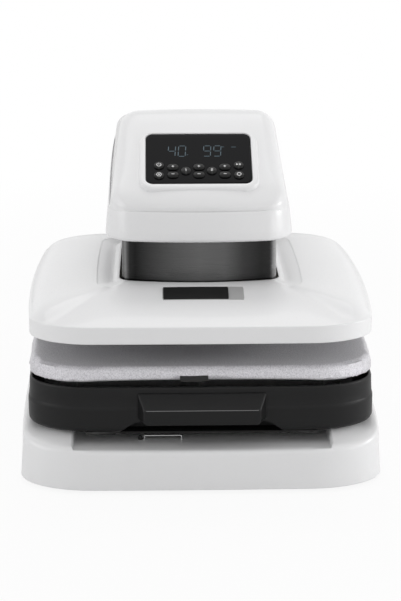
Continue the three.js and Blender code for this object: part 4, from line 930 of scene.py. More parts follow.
# %% Tray dish
TRAY_DEPTH = 430
TRAY_FRONT = 20
TRAY_FLOOR, TRAY_RIM = 68, 124
TRAY = Plan(
    419, TRAY_DEPTH, 52, 74, side_bow=4, front_bow=4, rear_bow=4,
    centre=from_front(TRAY_FRONT + TRAY_DEPTH / 2),
)
TRAY_FACE = from_front(TRAY_FRONT)
RIM = 2.4
TRAY_WALL = ((0, 84), (0, 95.5), (0.1, 98.6), (0.8, 100), (1.2, 101.4), (1.8, 112))
TRAY_INSIDE = ((7.2, 104), (7.4, 82), (9, 75), (12, 71.5), (16, 71), (30, 71))


def tray_rings():
    """The dish from the middle of its underside, over the rim and down to its floor."""
    underside = stack(TRAY, [(22, 0.0)] + edge_round(8), TRAY_FLOOR)
    turns = [math.radians(angle) for angle in range(0, 181, 20)]
    lip = [(2.1 + RIM * (1 - math.cos(t)), TRAY_RIM - RIM + RIM * math.sin(t)) for t in turns]
    return underside + stack(TRAY, TRAY_WALL) + stack(TRAY, lip) + stack(TRAY, TRAY_INSIDE)


tray = skin("tray_dish", tray_rings(), black_tray.material)
print("dish:", len(tray.data.polygons), "faces")


# %% [markdown]
# The scoop for the fingers cuts through the front wall, so the dish first gets a hump behind it and
# a pan below, which keep the wall closed. Both are joined before anything is cut. The shallow field
# behind the handle is milled with the same kind of tool, an outline that is pushed along one axis.


# %% Scoop and field
def prism(name, outline, low, high, across=False):
    """An outline in X and Z pushed along Y, or one in Y and Z pushed across the machine."""
    rings = [
        [Vector((run, first, z) if across else (first, run, z)) for first, z in outline]
        for run in (low, high)
    ]
    return skin(name, rings, plain_cutter)


def round_corners(outline, radii, steps=6):
    """A polygon in the plane with a radius for each of its corners."""
    points = [Vector(p) for p in outline]
    result = []
    for index, here in enumerate(points):
        before, after = points[index - 1], points[(index + 1) % len(points)]
        result += rounded(before, here, after, radii[index], steps)
    return result


SCOOP_HALF, SCOOP_TOP_HALF, SCOOP_HEIGHT, SCOOP_DEPTH = 107, 78, 15, 30
FIELD_DEPTH = 1.5


def scoop_outline(extra, low):
    """The scoop as a trapezium with soft upper corners."""
    top = TRAY_FLOOR + SCOOP_HEIGHT + extra
    foot, head = SCOOP_HALF + extra, SCOOP_TOP_HALF + extra
    return round_corners([(-foot, low), (foot, low), (head, top), (-head, top)], [0.5, 0.5, 9, 9])


hump = prism("hump", scoop_outline(3, TRAY_FLOOR + 1.5), TRAY_FACE + 7, TRAY_FACE + SCOOP_DEPTH + 3)
pan_outline = [(-137, 65.4), (137, 65.4), (137, 68.6), (-137, 68.6)]
pan = prism("pan", pan_outline, TRAY_FACE + 6, TRAY_FACE + 60)
combine(tray, [hump, pan], "UNION")
field = round_corners([(-80, 84), (80, 84), (84, 122), (-84, 122)], [5] * 4)
combine(tray, [
    prism("scoop", scoop_outline(0, TRAY_FLOOR - 6), TRAY_FACE - 8, TRAY_FACE + SCOOP_DEPTH),
    prism("field", field, TRAY_FACE - 30, TRAY_FACE - 2.0 + FIELD_DEPTH),
])
brace_outline = [(-108, 64.2), (108, 64.2), (108, 66.6), (-108, 66.6)]
combine(tray, [prism("brace", brace_outline, TRAY_FACE + 12, TRAY_FACE + 60)], "UNION")
soften(tray, 1.1, segments=3, angle=35)
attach(tray, "drawer")
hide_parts("drawer_tray")
print("tray:", len(tray.data.polygons), "faces")

# %% [markdown]
# ## Drawer handle
#
# The handle is a hollow lip. It narrows towards the fingers, its top slopes down and forward, and
# the lower corners of its face are round. Cross-sections from front to back give the taper, and a
# wedge milled from below leaves the finger space.

# %% Handle
HANDLE_TIP = from_front(2)
HANDLE_ROOT = TRAY_FACE + 0.8
HANDLE_LOW = 84
HANDLE_HALF, HANDLE_FLARE = 68.2, 7.4
HANDLE_TOP, HANDLE_CLIMB = 102.6, 14.6
HANDLE_STEPS = (
    (0.0, 1.2), (0.01, 0.6), (0.028, 0.2), (0.06, 0.0), (0.3, 0.0), (0.6, 0.0), (0.92, 0.0), (1.0, 0.0),
)


def handle_section(share, inset):
    """One upright section of the handle, share of the way from its face to the tray."""
    half = HANDLE_HALF + HANDLE_FLARE * share - inset
    top = HANDLE_TOP + HANDLE_CLIMB * share - inset
    low = HANDLE_LOW + inset
    y = HANDLE_TIP + (HANDLE_ROOT - HANDLE_TIP) * share
    corners = [(-half, low), (half, low), (half, top), (-half, top)]
    return [Vector((x, y, z)) for x, z in round_corners(corners, [6, 6, 3.4, 3.4], steps=7)]


handle_rings = [handle_section(share, inset) for share, inset in HANDLE_STEPS]
handle = skin("handle_lip", handle_rings, black_tray.material)
grip_front, grip_rear = HANDLE_TIP + 3, HANDLE_ROOT - 2.5
grip = [(grip_front, 80), (grip_rear, 80), (grip_rear, 108), (grip_front, 99)]
combine(handle, [prism("grip", grip, -63.5, 63.5, across=True)])
soften(handle, 0.5, segments=2, angle=50)
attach(handle, "drawer")
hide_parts("drawer_handle")

# A fine grey bead along the handle's upper edge is a painted highlight: a lighter line where the rounded
# edge catches light.
HIGHLIGHT_BEAD = 0.42
highlight_corners = [Vector((-73.0, HANDLE_ROOT - 1.5, 114.6)), Vector((-66.6, HANDLE_TIP + 0.35, 101.9))]
highlight_corners += [Vector((-p.x, p.y, p.z)) for p in reversed(highlight_corners)]
highlight_bead = sweep("handle_highlight", bent_path(highlight_corners, 2.4), HIGHLIGHT_BEAD, highlight_plastic.material)
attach(highlight_bead, "drawer")
print("handle reaches", round(HANDLE_TIP - TRAY_FACE, 1), "mm in front of the tray")

# %% [markdown]
# ## Drawer slides
#
# Each side of the drawer runs on a slide of three rolled sheets: an outer channel on the base, a
# middle channel that follows at half the speed, and an inner rail with a flange under the tray. A
# rolled section is the same along its whole length, so each is one outline pushed from front to rear.
# They begin well behind the front of the tray, which hides them while the drawer is shut.

# %% Slide sections
SHEET = 1.5
SLIDE_LIP = 4
SLIDE_FRONT, SLIDE_REAR = from_front(98), from_front(410)


def channel(face, low, high):
    """A C-shaped channel, open towards the middle of the machine."""
    inner, lip = face - SHEET, face - SHEET - SLIDE_LIP
    return [
        (face, low), (face, high), (lip, high), (lip, high - SHEET), (inner, high - SHEET),
        (inner, low + SHEET), (lip, low + SHEET), (lip, low),
    ]


def carrier(face, low, high, top):
    """The inner rail with the arm and flange that carry the tray."""
    web, riser = face - SHEET, face - SHEET - 12
    return [
        (face, low), (face, high), (web, high), (web, low + SHEET), (riser, low + SHEET), (riser, top),
        (riser - 12, top), (riser - 12, top - SHEET), (riser - SHEET, top - SHEET), (riser - SHEET, low),
    ]


SLIDES = (
    ("outer", channel(151.7, 52.3, 66.5), "stand"), ("mid", channel(149.7, 54.3, 64.5), "slide_mids"),
    ("inner", carrier(147.7, 56.3, 62.5, 67.7), "drawer"),
)
for part, outline, body in SLIDES:
    for side, sign in (("left", -1), ("right", 1)):
        mirrored = [(sign * x, z) for x, z in outline]
        rail = prism(f"rail_{part}_{side}", mirrored, SLIDE_FRONT, SLIDE_REAR)
        dress(rail, zinc_steel.material)
        soften(rail, 0.3, segments=2, angle=60)
        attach(rail, body)
        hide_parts(f"slide_{part}_{side}")
print("slides:", 2 * len(SLIDES))

# %% [markdown]
# ## Pad cover
#
# A fitted cover of silver cloth is pulled over the foam pad and held by a sewn hem. Its top is
# crowned, its front swells a little and its corners hang lower. Modelling the fall of cloth by hand
# is slow, and a simulation does it well, but it needs a good start: a closed cushion of rings that
# already has the hem, the crown and the corners at their measured heights.

# %% Cover before filling
COVER_WIDTH, COVER_DEPTH = 420, 423
COVER_TOP, COVER_EDGE, COVER_DROOP, COVER_FALL = 147.4, 130.6, 5.4, 2.2
COVER = Plan(COVER_WIDTH, COVER_DEPTH, 53, 72, side_bow=5, front_bow=5, rear_bow=5, centre=PRESS_Y)
HEM_ROWS = (
    (150, 0.6), (80, 0.6), (30, 0.6), (12, 0.6), (6, 0), (2.4, 1.2), (0.4, 4.5), (0.2, 8.5),
)
TOP_ROWS = (
    (1.2, 4.6), (3.4, 2.2), (7, 0.7), (13, 0.0), (24, 0), (50, 0), (90, 0), (130, 0), (165, 0),
)


def cover_share(x, y):
    """How far out a point is, across and along, each from 0 to 1."""
    return abs(x) / (COVER_WIDTH / 2), abs(y - PRESS_Y) / (COVER_DEPTH / 2)


def crown(level):
    """Height of the top: highest in the middle, lower to the rim."""
    def rule(x, y):
        across, along = cover_share(x, y)
        return level - COVER_FALL * min(1, (across ** 2 + along ** 2) / 2)
    return rule


def hem(level):
    """Height of the hem: it hangs lower in the corners than along the sides."""
    def rule(x, y):
        across, along = cover_share(x, y)
        return level - COVER_DROOP * min(across, along) ** 2
    return rule


def cover_rings(small):
    """The cover as a closed cushion, drawn in by a small distance."""
    rings = [ring(COVER.drawn_in(inset + small), hem(COVER_EDGE + rise)) for inset, rise in HEM_ROWS]
    return rings + [
        ring(COVER.drawn_in(inset + small), crown(COVER_TOP - small * 0.4 - drop))
        for inset, drop in TOP_ROWS
    ]


DRAWN_IN = 0.2
cover = skin("pad_sleeve", cover_rings(DRAWN_IN), silver_cloth.material)
print("cushion:", len(cover.data.vertices), "points")

# %% [markdown]
# Air pressure fills the top of the cover for a few frames, while its hem stays where it was
# measured. Caps on every move keep the result inside the space of the real cover.

# %% Filling with air
VOXEL = 4.6
CLOTH_FRAMES, CLOTH_PRESSURE = 20, 4
RISE_CAP, SINK_CAP, SIDE_CAP = 4.0, 1.0, 1.0
HEM_HELD, HEM_EASE = 3, 9


def fill_with_air(piece):
    """Blows a piece up as cloth; a point moves less near the hem, and never beyond the caps."""
    remesh = piece.modifiers.new("voxels", "REMESH")
    remesh.mode = "VOXEL"
    remesh.voxel_size = VOXEL * MM
    settle(piece)
    before = [v.co.copy() for v in piece.data.vertices]
    cloth = piece.modifiers.new("cloth", "CLOTH")
    cloth.settings.quality = 5
    cloth.settings.use_pressure = True
    cloth.settings.uniform_pressure_force = CLOTH_PRESSURE
    cloth.settings.effector_weights.gravity = 0
    for step in range(CLOTH_FRAMES):
        scene.frame_set(step + 1)
    filled = piece.evaluated_get(bpy.context.evaluated_depsgraph_get())
    after = [v.co.copy() for v in filled.to_mesh().vertices]
    filled.to_mesh_clear()
    piece.modifiers.clear()
    scene.frame_set(1)
    for vertex, start, end in zip(piece.data.vertices, before, after):
        move = (end - start) * smooth((start.z / MM - COVER_EDGE - HEM_HELD) / HEM_EASE)
        flat = Vector((move.x, move.y, 0))
        if flat.length > SIDE_CAP * MM:
            flat *= SIDE_CAP * MM / flat.length
        rise = max(-SINK_CAP * MM, min(RISE_CAP * MM, move.z))
        vertex.co = start + flat + Vector((0, 0, rise))


fill_with_air(cover)
print("cover:", len(cover.data.vertices), "points before its folds")

# %% [markdown]
# Pulled folds fan out from the corners of the real cover, because its corners are gathered by the
# hem. They are finer than the simulation's mesh, so they are added as three layers of noise. Then
# the underside is opened, the hem is left, and the cloth gets its thickness.

# %% Folds, hem and thickness
CORNER_FOLDS = 1.3
FOLDS_SUNK = 0.8
CLOTH_THICKNESS = 0.9
OPEN_SHARE = 0.93
PAD_LOW, PAD_HIGH = (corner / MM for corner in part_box("press_pad"))
PAD_COVERED = PAD_HIGH.z + 1.4


def cover_folds(point):
    """Height added by folds: they fan out from the corners and fade towards the middle."""
    across, along = cover_share(point.x, point.y)
    near_corner = smooth((across + along - 1.35) / 0.45)
    near_side = smooth((across - 0.72) / 0.25) * 0.5
    fan = math.atan2(1.08 - along, 1.25 - across)
    wave = noise.noise(Vector((fan * 9, point.x * 0.012, 3.1)))
    ripple = noise.noise(Vector((point.x * 0.035, point.y * 0.12, 7.7)))
    calm = noise.noise(Vector((point.x * 0.012, point.y * 0.012, 1.3))) * 0.5
    return CORNER_FOLDS * (near_corner * wave * 1.6 + near_side * ripple * 0.9) + calm * 0.45


def finish_cover(piece):
    """Adds folds, trims the cover to its space and opens it underneath."""
    low_bound, high_bound = COVER_EDGE - COVER_DROOP - 0.6, COVER_TOP
    finer = piece.modifiers.new("finer", "SUBSURF")
    finer.levels = 1
    settle(piece)
    limit_x, limit_y = COVER_WIDTH / 2, COVER_DEPTH / 2
    normals = [v.normal.copy() for v in piece.data.vertices]
    for vertex, normal in zip(piece.data.vertices, normals):
        point = vertex.co / MM
        if normal.z > -0.2:
            point = point + normal * (cover_folds(point) - FOLDS_SUNK)
        over_pad = abs(point.x) < PAD_HIGH.x + 2 and PAD_LOW.y - 2 < point.y < PAD_HIGH.y + 2
        if normal.z > 0.3 and over_pad:
            point.z = max(point.z, PAD_COVERED)
        point.z = min(high_bound, max(low_bound, point.z))
        point.x = min(limit_x, max(-limit_x, point.x))
        point.y = min(PRESS_Y + limit_y, max(PRESS_Y - limit_y, point.y))
        vertex.co = point * MM
    mesh_data = bmesh.new()
    mesh_data.from_mesh(piece.data)
    mesh_data.normal_update()
    under = []
    for face in mesh_data.faces:
        middle = face.calc_center_median() / MM
        if face.normal.z < -0.6 and max(cover_share(middle.x, middle.y)) < OPEN_SHARE:
            under.append(face)
    bmesh.ops.delete(mesh_data, geom=under, context="FACES")
    mesh_data.to_mesh(piece.data)
    mesh_data.free()
    thick = piece.modifiers.new("cloth thickness", "SOLIDIFY")
    thick.thickness = CLOTH_THICKNESS * MM
    thick.offset = -1
    settle(piece)
    shade(piece, 60)


finish_cover(cover)
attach(cover, "drawer")
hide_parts("pad_cover")
print("cover:", len(cover.data.polygons), "faces")

# %% [markdown]
# ## Tag under the hem
#
# A short black ribbon is folded double and sewn under the hem. Real ones carry a woven name, and
# this one is left bare. It is a bent strip with thickness, and it is drawn from its side profile.

# %% Tag
tag_low, tag_high = (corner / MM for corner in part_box("cover_tag"))
TAG_COLUMNS = 16
TAG_SHIFT, TAG_WAVE = 2.2, 0.25
TAG_HANG = ((0.0, 0.0), (0.2, 0.35), (0.5, 0.55), (0.8, 0.4), (1.0, 0.15))


def tag_strip():
    """A strip of ribbon that hangs from the hem, with soft waves across it."""
    rows = []
    face = tag_low.y + 0.2
    for share, step in TAG_HANG:
        z = tag_high.z - (tag_high.z - tag_low.z) * share
        row = []
        for column in range(TAG_COLUMNS + 1):
            t = column / TAG_COLUMNS
            x = tag_low.x + (tag_high.x - tag_low.x) * t - TAG_SHIFT
            y = face - step + TAG_WAVE * math.sin(t * 9)
            row.append(Vector((x, y, z - TAG_WAVE * math.sin(t * 5))))
        rows.append(row)
    return rows


def sheet_from_rows(name, rows, material, thickness):
    """A thin closed sheet from rows of points."""
    mesh_data = bmesh.new()
    grid = [[mesh_data.verts.new(point * MM) for point in row] for row in rows]
    for upper, lower in zip(grid, grid[1:]):
        for step in range(len(upper) - 1):
            mesh_data.faces.new((upper[step], upper[step + 1], lower[step + 1], lower[step]))
    piece = make_object(name, mesh_data, material)
    thick = piece.modifiers.new("thickness", "SOLIDIFY")
    thick.thickness = thickness * MM
    thick.offset = 0
    settle(piece)
    shade(piece)
    return piece


tag = sheet_from_rows("hem_tag", tag_strip(), tag_cloth.material, 0.7)
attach(tag, "drawer")
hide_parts("cover_tag")
print("tag:", round(tag_high.x - tag_low.x, 1), "mm wide")

# %% [markdown]
# ## Hood over the hot plate
#
# The hood is a wide white moulding: a straight rim, a steep shoulder, then a plateau that rises to
# a slightly raised collar round the neck. It is lofted from the rim's outline to the neck's outline
# along a smooth profile, so the shape between the square rim and the neck comes by itself.

# %% Hood profile
HOOD_DEPTH = 430
HOOD = Plan(421.5, HOOD_DEPTH, 50, 70, side_bow=12, front_bow=3, rear_bow=3, centre=PRESS_Y)
SHROUD = Plan(189, 206, 10, 10, front_bow=14, centre=PRESS_Y)
NECK = Plan(196, 213, 13.5, 13.5, front_bow=14, centre=PRESS_Y)
RIM_LOW, RIM_TOP, NECK_TOP = 177, 198.3, 223
RECESS = 3.2
BAND_START, BAND_END = 0.735, 0.93
DOME = [
    (0, 0), (0.03, 0.17), (0.08, 0.37), (0.14, 0.53), (0.2, 0.62), (0.35, 0.76), (0.55, 0.88),
    (0.735, 0.96), (0.9, 0.99), (1, 1),
]


def along_curve(table, share):
    """A smooth reading of a table of points, without overshoot."""
    index = next((i for i, (reach, _) in enumerate(table[1:]) if share <= reach), len(table) - 2)
    (x0, y0), (x1, y1) = table[index], table[index + 1]

    def slope(i):
        if i <= 0 or i >= len(table) - 1:
            near = (table[1], table[0]) if i <= 0 else (table[-1], table[-2])
            return (near[0][1] - near[1][1]) / (near[0][0] - near[1][0])
        left = (table[i][1] - table[i - 1][1]) / (table[i][0] - table[i - 1][0])
        right = (table[i + 1][1] - table[i][1]) / (table[i + 1][0] - table[i][0])
        return 0 if left * right <= 0 else 2 * left * right / (left + right)

    wide = x1 - x0
    t = (share - x0) / wide
    m0, m1 = slope(index) * wide, slope(index + 1) * wide
    return (
        (2 * t ** 3 - 3 * t * t + 1) * y0 + (t ** 3 - 2 * t * t + t) * m0
        + (-2 * t ** 3 + 3 * t * t) * y1 + (t ** 3 - t * t) * m1
    )


def dome_height(share):
    """Height of the hood's sides from rim to neck, with a sunk band round the neck."""
    inside_band = min(1, max(0, (share - BAND_START) / (BAND_END - BAND_START)))
    fall = 0.4 * smooth((share - BAND_START) / 0.015) + RECESS * inside_band
    sunk = fall * (1 - smooth((share - BAND_END) / 0.05))
    return RIM_TOP + (NECK_TOP - RIM_TOP) * along_curve(DOME, share) - sunk


print("the sunk band starts at", round(dome_height(BAND_START), 1), "mm")

# %% [markdown]
# The front face falls more evenly than the sides do, which leaves a soft ridge from each front
# corner of the rim to the collar. Both profiles are blended by how far a point lies to the front,
# and a low pedestal rises before the neck.

# %% Front profile and ridge
DOME_FRONT = [
    (0, 0), (0.03, 0.055), (0.08, 0.135), (0.14, 0.225), (0.25, 0.38), (0.4, 0.57), (0.55, 0.73),
    (0.74, 0.89), (0.9, 0.98), (1, 1),
]
PEDESTAL_RISE, PEDESTAL_HALF = 1.8, 95


def front_height(share):
    """Height of the hood's front face at this share of the way from rim to neck."""
    return RIM_TOP + (NECK_TOP - RIM_TOP) * along_curve(DOME_FRONT, share)


def hood_rule(shape, share, drop):
    """Height of one outline of the hood: side and front profile with a soft ridge between them."""
    def rule(x, y):
        forward = (PRESS_Y - y) / shape.half_y - abs(x) / shape.half_x
        weight = smooth((forward + 0.05) / 0.14)
        ahead = PRESS_Y - NECK.half_y - y
        pedestal = 1 - smooth((abs(x) - PEDESTAL_HALF) / 14)
        pedestal *= (1 - smooth((ahead - 8) / 40)) * smooth((ahead + 22) / 12)
        rise = PEDESTAL_RISE * pedestal * (1 - smooth((share - BAND_END) / 0.07))
        return dome_height(share) * (1 - weight) + front_height(share) * weight + rise - drop
    return rule


print("halfway up, the front stands at", round(front_height(0.5), 1), "mm")

# %% [markdown]
# The rings lie close together wherever the profile bends, because smooth shading can only follow
# what the mesh holds. After the neck they turn back on the inside, so the moulding has a real wall.

# %% Hood
HOOD_ROUND = 2.0
HOOD_WALL = 3
OUTER_SHARES = (
    0.008, 0.018, 0.03, 0.045, 0.062, 0.08, 0.1, 0.125, 0.15, 0.18, 0.215, 0.26, 0.31, 0.37, 0.44,
    0.51, 0.58, 0.62, 0.66, 0.7, 0.73, 0.737, 0.743, 0.75, 0.757, 0.763, 0.77, 0.79, 0.83, 0.88,
    0.925, 0.94, 0.955, 0.97, 0.985, 1.0,
)
INNER_SHARES = (0.9, 0.77, 0.735, 0.5, 0.26, 0.125, 0.062, 0.018)
HOOD_STEPS = {"arcs": 18, "sides": 24}


def hood_rings():
    """Outside from the rim to the neck, then inside back to the rim."""
    def rim(inset, height):
        return ring(HOOD.drawn_in(inset), height, **HOOD_STEPS)

    def level(share, inset, drop):
        shape = HOOD.drawn_in(inset).blend(NECK, share)
        return ring(shape, hood_rule(shape, share, drop), **HOOD_STEPS)

    straight = ((HOOD_WALL, 0.3), (1.9, 0), (0.8, 0.3), (0.15, 1.2), (0, 2.2), (0, 9))
    rings = [rim(inset, RIM_LOW + height) for inset, height in straight]
    rings += [rim(0, RIM_TOP - HOOD_ROUND - 3)]
    for angle in (0, 14, 28, 42, 56, 66):
        across, up = math.cos(math.radians(angle)), math.sin(math.radians(angle))
        rings += [rim(HOOD_ROUND * (1 - across), RIM_TOP - HOOD_ROUND + HOOD_ROUND * up)]
    rings += [level(share, HOOD_ROUND, 0) for share in OUTER_SHARES]
    rings += [level(1.0, HOOD_ROUND, 0.9)]
    rings += [ring(NECK.drawn_in(-0.8), NECK_TOP - HOOD_WALL - 1, **HOOD_STEPS)]
    rings += [level(share, HOOD_ROUND + HOOD_WALL, HOOD_WALL) for share in INNER_SHARES]
    rings += [rim(HOOD_WALL + 0.6, RIM_TOP - 7), rim(HOOD_WALL, RIM_LOW + 4)]
    return rings


hood = skin("hood_moulding", hood_rings(), white_shell.material, looped=True)
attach(hood, "press_head")
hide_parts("hood")
print("hood:", len(hood.data.polygons), "faces")

# %% [markdown]
# ## Bare plates on the hood
#
# In front of the neck the real machine has a printed plate. Here a plain dark plate and a pale end
# stand in its place. They follow the curve of the hood: each point of a small grid is dropped onto
# the surface along Z and lifted by the plate's thickness.


# %% Plates laid on a surface
def laid_plate(name, surface, low, high, corner, material, columns=24, rows=8, thickness=0.35):
    """A thin plate with rounded corners laid on a surface; low and high are X and Y."""
    middle_x, middle_y = (low[0] + high[0]) / 2, (low[1] + high[1]) / 2
    half_x, half_y = (high[0] - low[0]) / 2, (high[1] - low[1]) / 2
    lines = []
    for row in range(rows + 1):
        v = -half_y + 2 * half_y * row / rows
        over = max(0.0, abs(v) - (half_y - corner))
        reach = half_x - corner + math.sqrt(max(0.0, corner ** 2 - over ** 2))
        line = []
        for column in range(columns + 1):
            x, y = middle_x - reach + 2 * reach * column / columns, middle_y + v
            place = surface.ray_cast(Vector((x * MM, y * MM, 1)), Vector((0, 0, -1)))[1]
            line.append(Vector((x, y, place.z / MM + thickness * 0.5)))
        lines.append(line)
    return sheet_from_rows(name, lines, material, thickness)


PLATE_LOW_Y, PLATE_HIGH_Y = -196.0, -165.0
plate_pale = laid_plate(
    "notice_plate_back", hood, (-45.5, PLATE_LOW_Y), (51.8, PLATE_HIGH_Y), 0.8,
    label_pale.material, columns=32,
)
plate_dark = laid_plate(
    "notice_plate", hood, (-44.5, PLATE_LOW_Y + 1.1), (33.4, PLATE_HIGH_Y - 1.1), 0.5,
    label_dark.material, thickness=1.0,
)
for plate in (plate_dark, plate_pale):
    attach(plate, "press_head")
print("plates follow the hood at Z", round(plate_dark.data.vertices[0].co.z / MM, 1))

# %% [markdown]
# ## Shroud
#
# A sleeve of dark polished sheet closes the gap between head and hood while the press moves. It is
# a bent sheet with a bowed front, so it is a tall thin loft with a wall of its own.

# %% Shroud
SHROUD_LOW, SHROUD_TOP = 191.5, 273.6
SLEEVE_ROWS = (
    (0.4, SHROUD_LOW), (0, SHROUD_LOW + 0.5), (0, 215), (0, 235), (0, 255), (0, SHROUD_TOP - 0.5),
    (0.4, SHROUD_TOP), (1.6, SHROUD_TOP), (2, SHROUD_TOP - 0.5), (2, 232), (2, SHROUD_LOW + 0.5),
    (1.6, SHROUD_LOW),
)
sleeve = skin("shroud_sleeve", stack(SHROUD, SLEEVE_ROWS), shroud_steel.material, looped=True)
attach(sleeve, "stand")
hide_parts("shroud")
print("shroud height", round(SHROUD_TOP - SHROUD_LOW, 1), "mm")

# %% [markdown]
# ## Lower shell of the head
#
# The head is two mouldings. The lower one is an open tray with drafted walls whose upper edge
# climbs to the rear, so its last ring takes its height from the same rule as the seam.

# %% Seam and lower shell
HEAD_WIDTH, HEAD_DEPTH, HEAD_FRONT = 231, 422, 118
HEAD_TOP = 412
HEAD_CORNER, HEAD_BOW = 34, 13
HEAD = Plan(
    HEAD_WIDTH, HEAD_DEPTH, HEAD_CORNER, side_bow=2, front_bow=HEAD_BOW,
    centre=from_front(HEAD_FRONT + HEAD_DEPTH / 2),
)
PART_FRONT, PART_REAR = 311, 335
COVER_INSET = 6.2
COVER_SUNK = 1.8
SEAM = [
    (0, 0), (0.12, 0.07), (0.23, 0.22), (0.36, 0.5), (0.486, 0.75), (0.65, 0.92), (0.81, 0.98), (1, 1),
]
LEDGE = [(0, 1.1), (0.25, 0.4), (0.6, 0.02), (0.8, 0.1), (0.92, 0.5), (0.97, 3.2), (3.6, 3.6)]


def seam_height(y):
    """Height of the seam between the two shells at this Y."""
    share = min(1, max(0, (y - from_front(HEAD_FRONT)) / HEAD_DEPTH))
    return PART_FRONT + (PART_REAR - PART_FRONT) * along_curve(SEAM, share)


def wall_ring(share, inset, drop=0.0):
    """Outline of the lower shell a share of the way from its round to the seam."""
    def rule(x, y):
        bottom = HEAD_BOTTOM + 5
        return bottom + (seam_height(y) - drop - bottom) * share
    return ring(HEAD.drawn_in(4 * share + inset), rule)


shell_rings = stack(HEAD, [(12, 0)] + edge_round(5), HEAD_BOTTOM)
shell_rings += [wall_ring(share, 0) for share in (0.25, 0.5, 0.75)]
shell_rings += [wall_ring(1, inset, drop) for inset, drop in LEDGE]
shell_rings += [wall_ring(0.5, 4.6)] + stack(HEAD, [(8, 5), (14, 3.2)], HEAD_BOTTOM)
head_lower = skin("head_lower", shell_rings, white_shell.material)
well = Plan(194, 71, 19, centre=from_front(460 + 38.5))
combine(head_lower, [
    plug("mouth", SHROUD.drawn_in(3), HEAD_BOTTOM - 5, HEAD_BOTTOM + 12),
    plug("well", well, HEAD_BOTTOM - 5, HEAD_BOTTOM + 12),
])
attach(head_lower, "stand")
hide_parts("head_shell")
print("lower shell:", len(head_lower.data.polygons), "faces")

# %% [markdown]
# ## Cover of the head
#
# The cover has a low nose, a slope that carries the panel, a soft crest and a long fall to the
# rear, and its sides lean in. Such a body is easiest to describe by upright cross-sections: each is
# a path up one side, over a round edge and down the other, and they are skinned from nose to tail.

# %% Cover sections
NOSE, NOSE_HEIGHT, NOSE_BEND = 12, 14, 34
SLOPE = 0.667
CREST_SHARE, CREST_SOFT = 0.335, 16
REAR_FALL, REAR_ROUND = 78, 18
EDGE_ROUND, EDGE_SHARE = 26, 0.62
LEAN = 16
HEAD_CROWN = 1.5


def top_height(reach):
    """Height of the cover's top this far behind the front of the head."""
    slope = PART_FRONT + NOSE_HEIGHT + (reach - NOSE) * SLOPE
    flat = HEAD_TOP - REAR_FALL * max(0, reach - HEAD_DEPTH * CREST_SHARE) / HEAD_DEPTH
    soft = max(CREST_SOFT - abs(slope - flat), 0) / CREST_SOFT
    top = min(slope, flat) - soft * soft * CREST_SOFT / 4
    if reach < NOSE_BEND:
        t = math.sqrt(max(0, reach - COVER_INSET) / (NOSE_BEND - COVER_INSET))
        low, knee = PART_FRONT + 3.4, PART_FRONT + NOSE_HEIGHT + (COVER_INSET - NOSE) * SLOPE
        high = PART_FRONT + NOSE_HEIGHT + (NOSE_BEND - NOSE) * SLOPE
        return low * (1 - t) ** 2 + knee * 2 * t * (1 - t) + high * t * t
    left = max(0, HEAD_DEPTH - COVER_INSET - reach)
    if left < REAR_ROUND:
        top -= REAR_ROUND * (1 - math.sqrt(1 - (1 - left / REAR_ROUND) ** 2))
    return top


def cover_section(reach, drawn=0.0, lift=-COVER_SUNK):
    """One cross-section of the cover, drawn in by a wall if asked."""
    y = from_front(HEAD_FRONT) + reach
    corner = HEAD_CORNER - COVER_INSET
    depth = max(0, min(corner, reach - COVER_INSET))
    half = HEAD_WIDTH / 2 - COVER_INSET - drawn - corner
    half += math.sqrt(corner ** 2 - (corner - depth) ** 2)
    top = top_height(reach) - drawn
    bottom = seam_height(y) + lift
    radius = min(EDGE_ROUND, (top - bottom) * EDGE_SHARE, half * EDGE_SHARE)
    lean = lambda z: LEAN * (z - bottom) / (HEAD_TOP - PART_FRONT)
    flat = half - lean(top - radius) - radius
    lip = min(0.7, (top - radius - bottom) * 0.15)
    side = [(half - 0.5, bottom), (half - lean(bottom + lip), bottom + lip)]
    wall = [bottom + (top - radius - bottom) * s / 5 for s in range(1, 5)]
    side += [(half - lean(z), z) for z in wall]
    for step in range(13):
        angle = math.radians(90 * step / 12)
        side.append((flat + radius * math.cos(angle), top - radius + radius * math.sin(angle)))
    tenths = [s / 10 for s in range(9, -10, -1)]
    across = [(flat * t, top + HEAD_CROWN * (1 - t ** 2)) for t in tenths]
    path = side + across + [(-x, z) for x, z in reversed(side)]
    path += [(x * 0.985, bottom) for x, _ in reversed(path[1:-1])]
    bow = HEAD_BOW * max(0, 1 - reach / (HEAD_DEPTH * 0.35))
    return [Vector((x, y + bow * (x / (HEAD_WIDTH / 2)) ** 2, z)) for x, z in path]


def section_places():
    """Places of the sections: close together at the nose, the crest and the tail."""
    nose = (0, 0.15, 0.5, 1.1, 2, 3.2, 4.8, 6.6, 8.6, 11, 14, 18, 22, 26, 30)
    middle = [
        40, 52, 66, 80, 94, 106, 114, 120, 125, 129, 133, 137, 141, 145, 149, 154, 160, 168, 180,
        200, 230, 265, 300, 335, 365, 385,
    ]
    tail = (18, 15, 12, 9, 6.5, 4.5, 3, 1.8, 0.9, 0.3, 0)
    last = HEAD_DEPTH - COVER_INSET
    return [COVER_INSET + step for step in nose] + middle + [last - step for step in tail]


sections = [cover_section(reach) for reach in section_places()]
head_top = skin("head_top", sections, white_shell.material, capped="ladder")
INNER_PLACES = (14, 18, 24, 34, 60, 100, 125, 137, 150, 200, 300, 380, 398, 406)
inner = [cover_section(reach, drawn=3, lift=-6) for reach in INNER_PLACES]
combine(head_top, [skin("inner", inner, plain_cutter, capped="ladder")])
print("cover of the head:", len(head_top.data.polygons), "faces")

# %% [markdown]
# ## Panel frame and panel
#
# The panel lies in its own tilted frame: across, up the slope and out of it. Drawing it flat and
# then tilting it with one matrix keeps its buttons square to it. A raised frame of white plastic
# rings it, wide and soft at the sides and bottom and thin at the top.

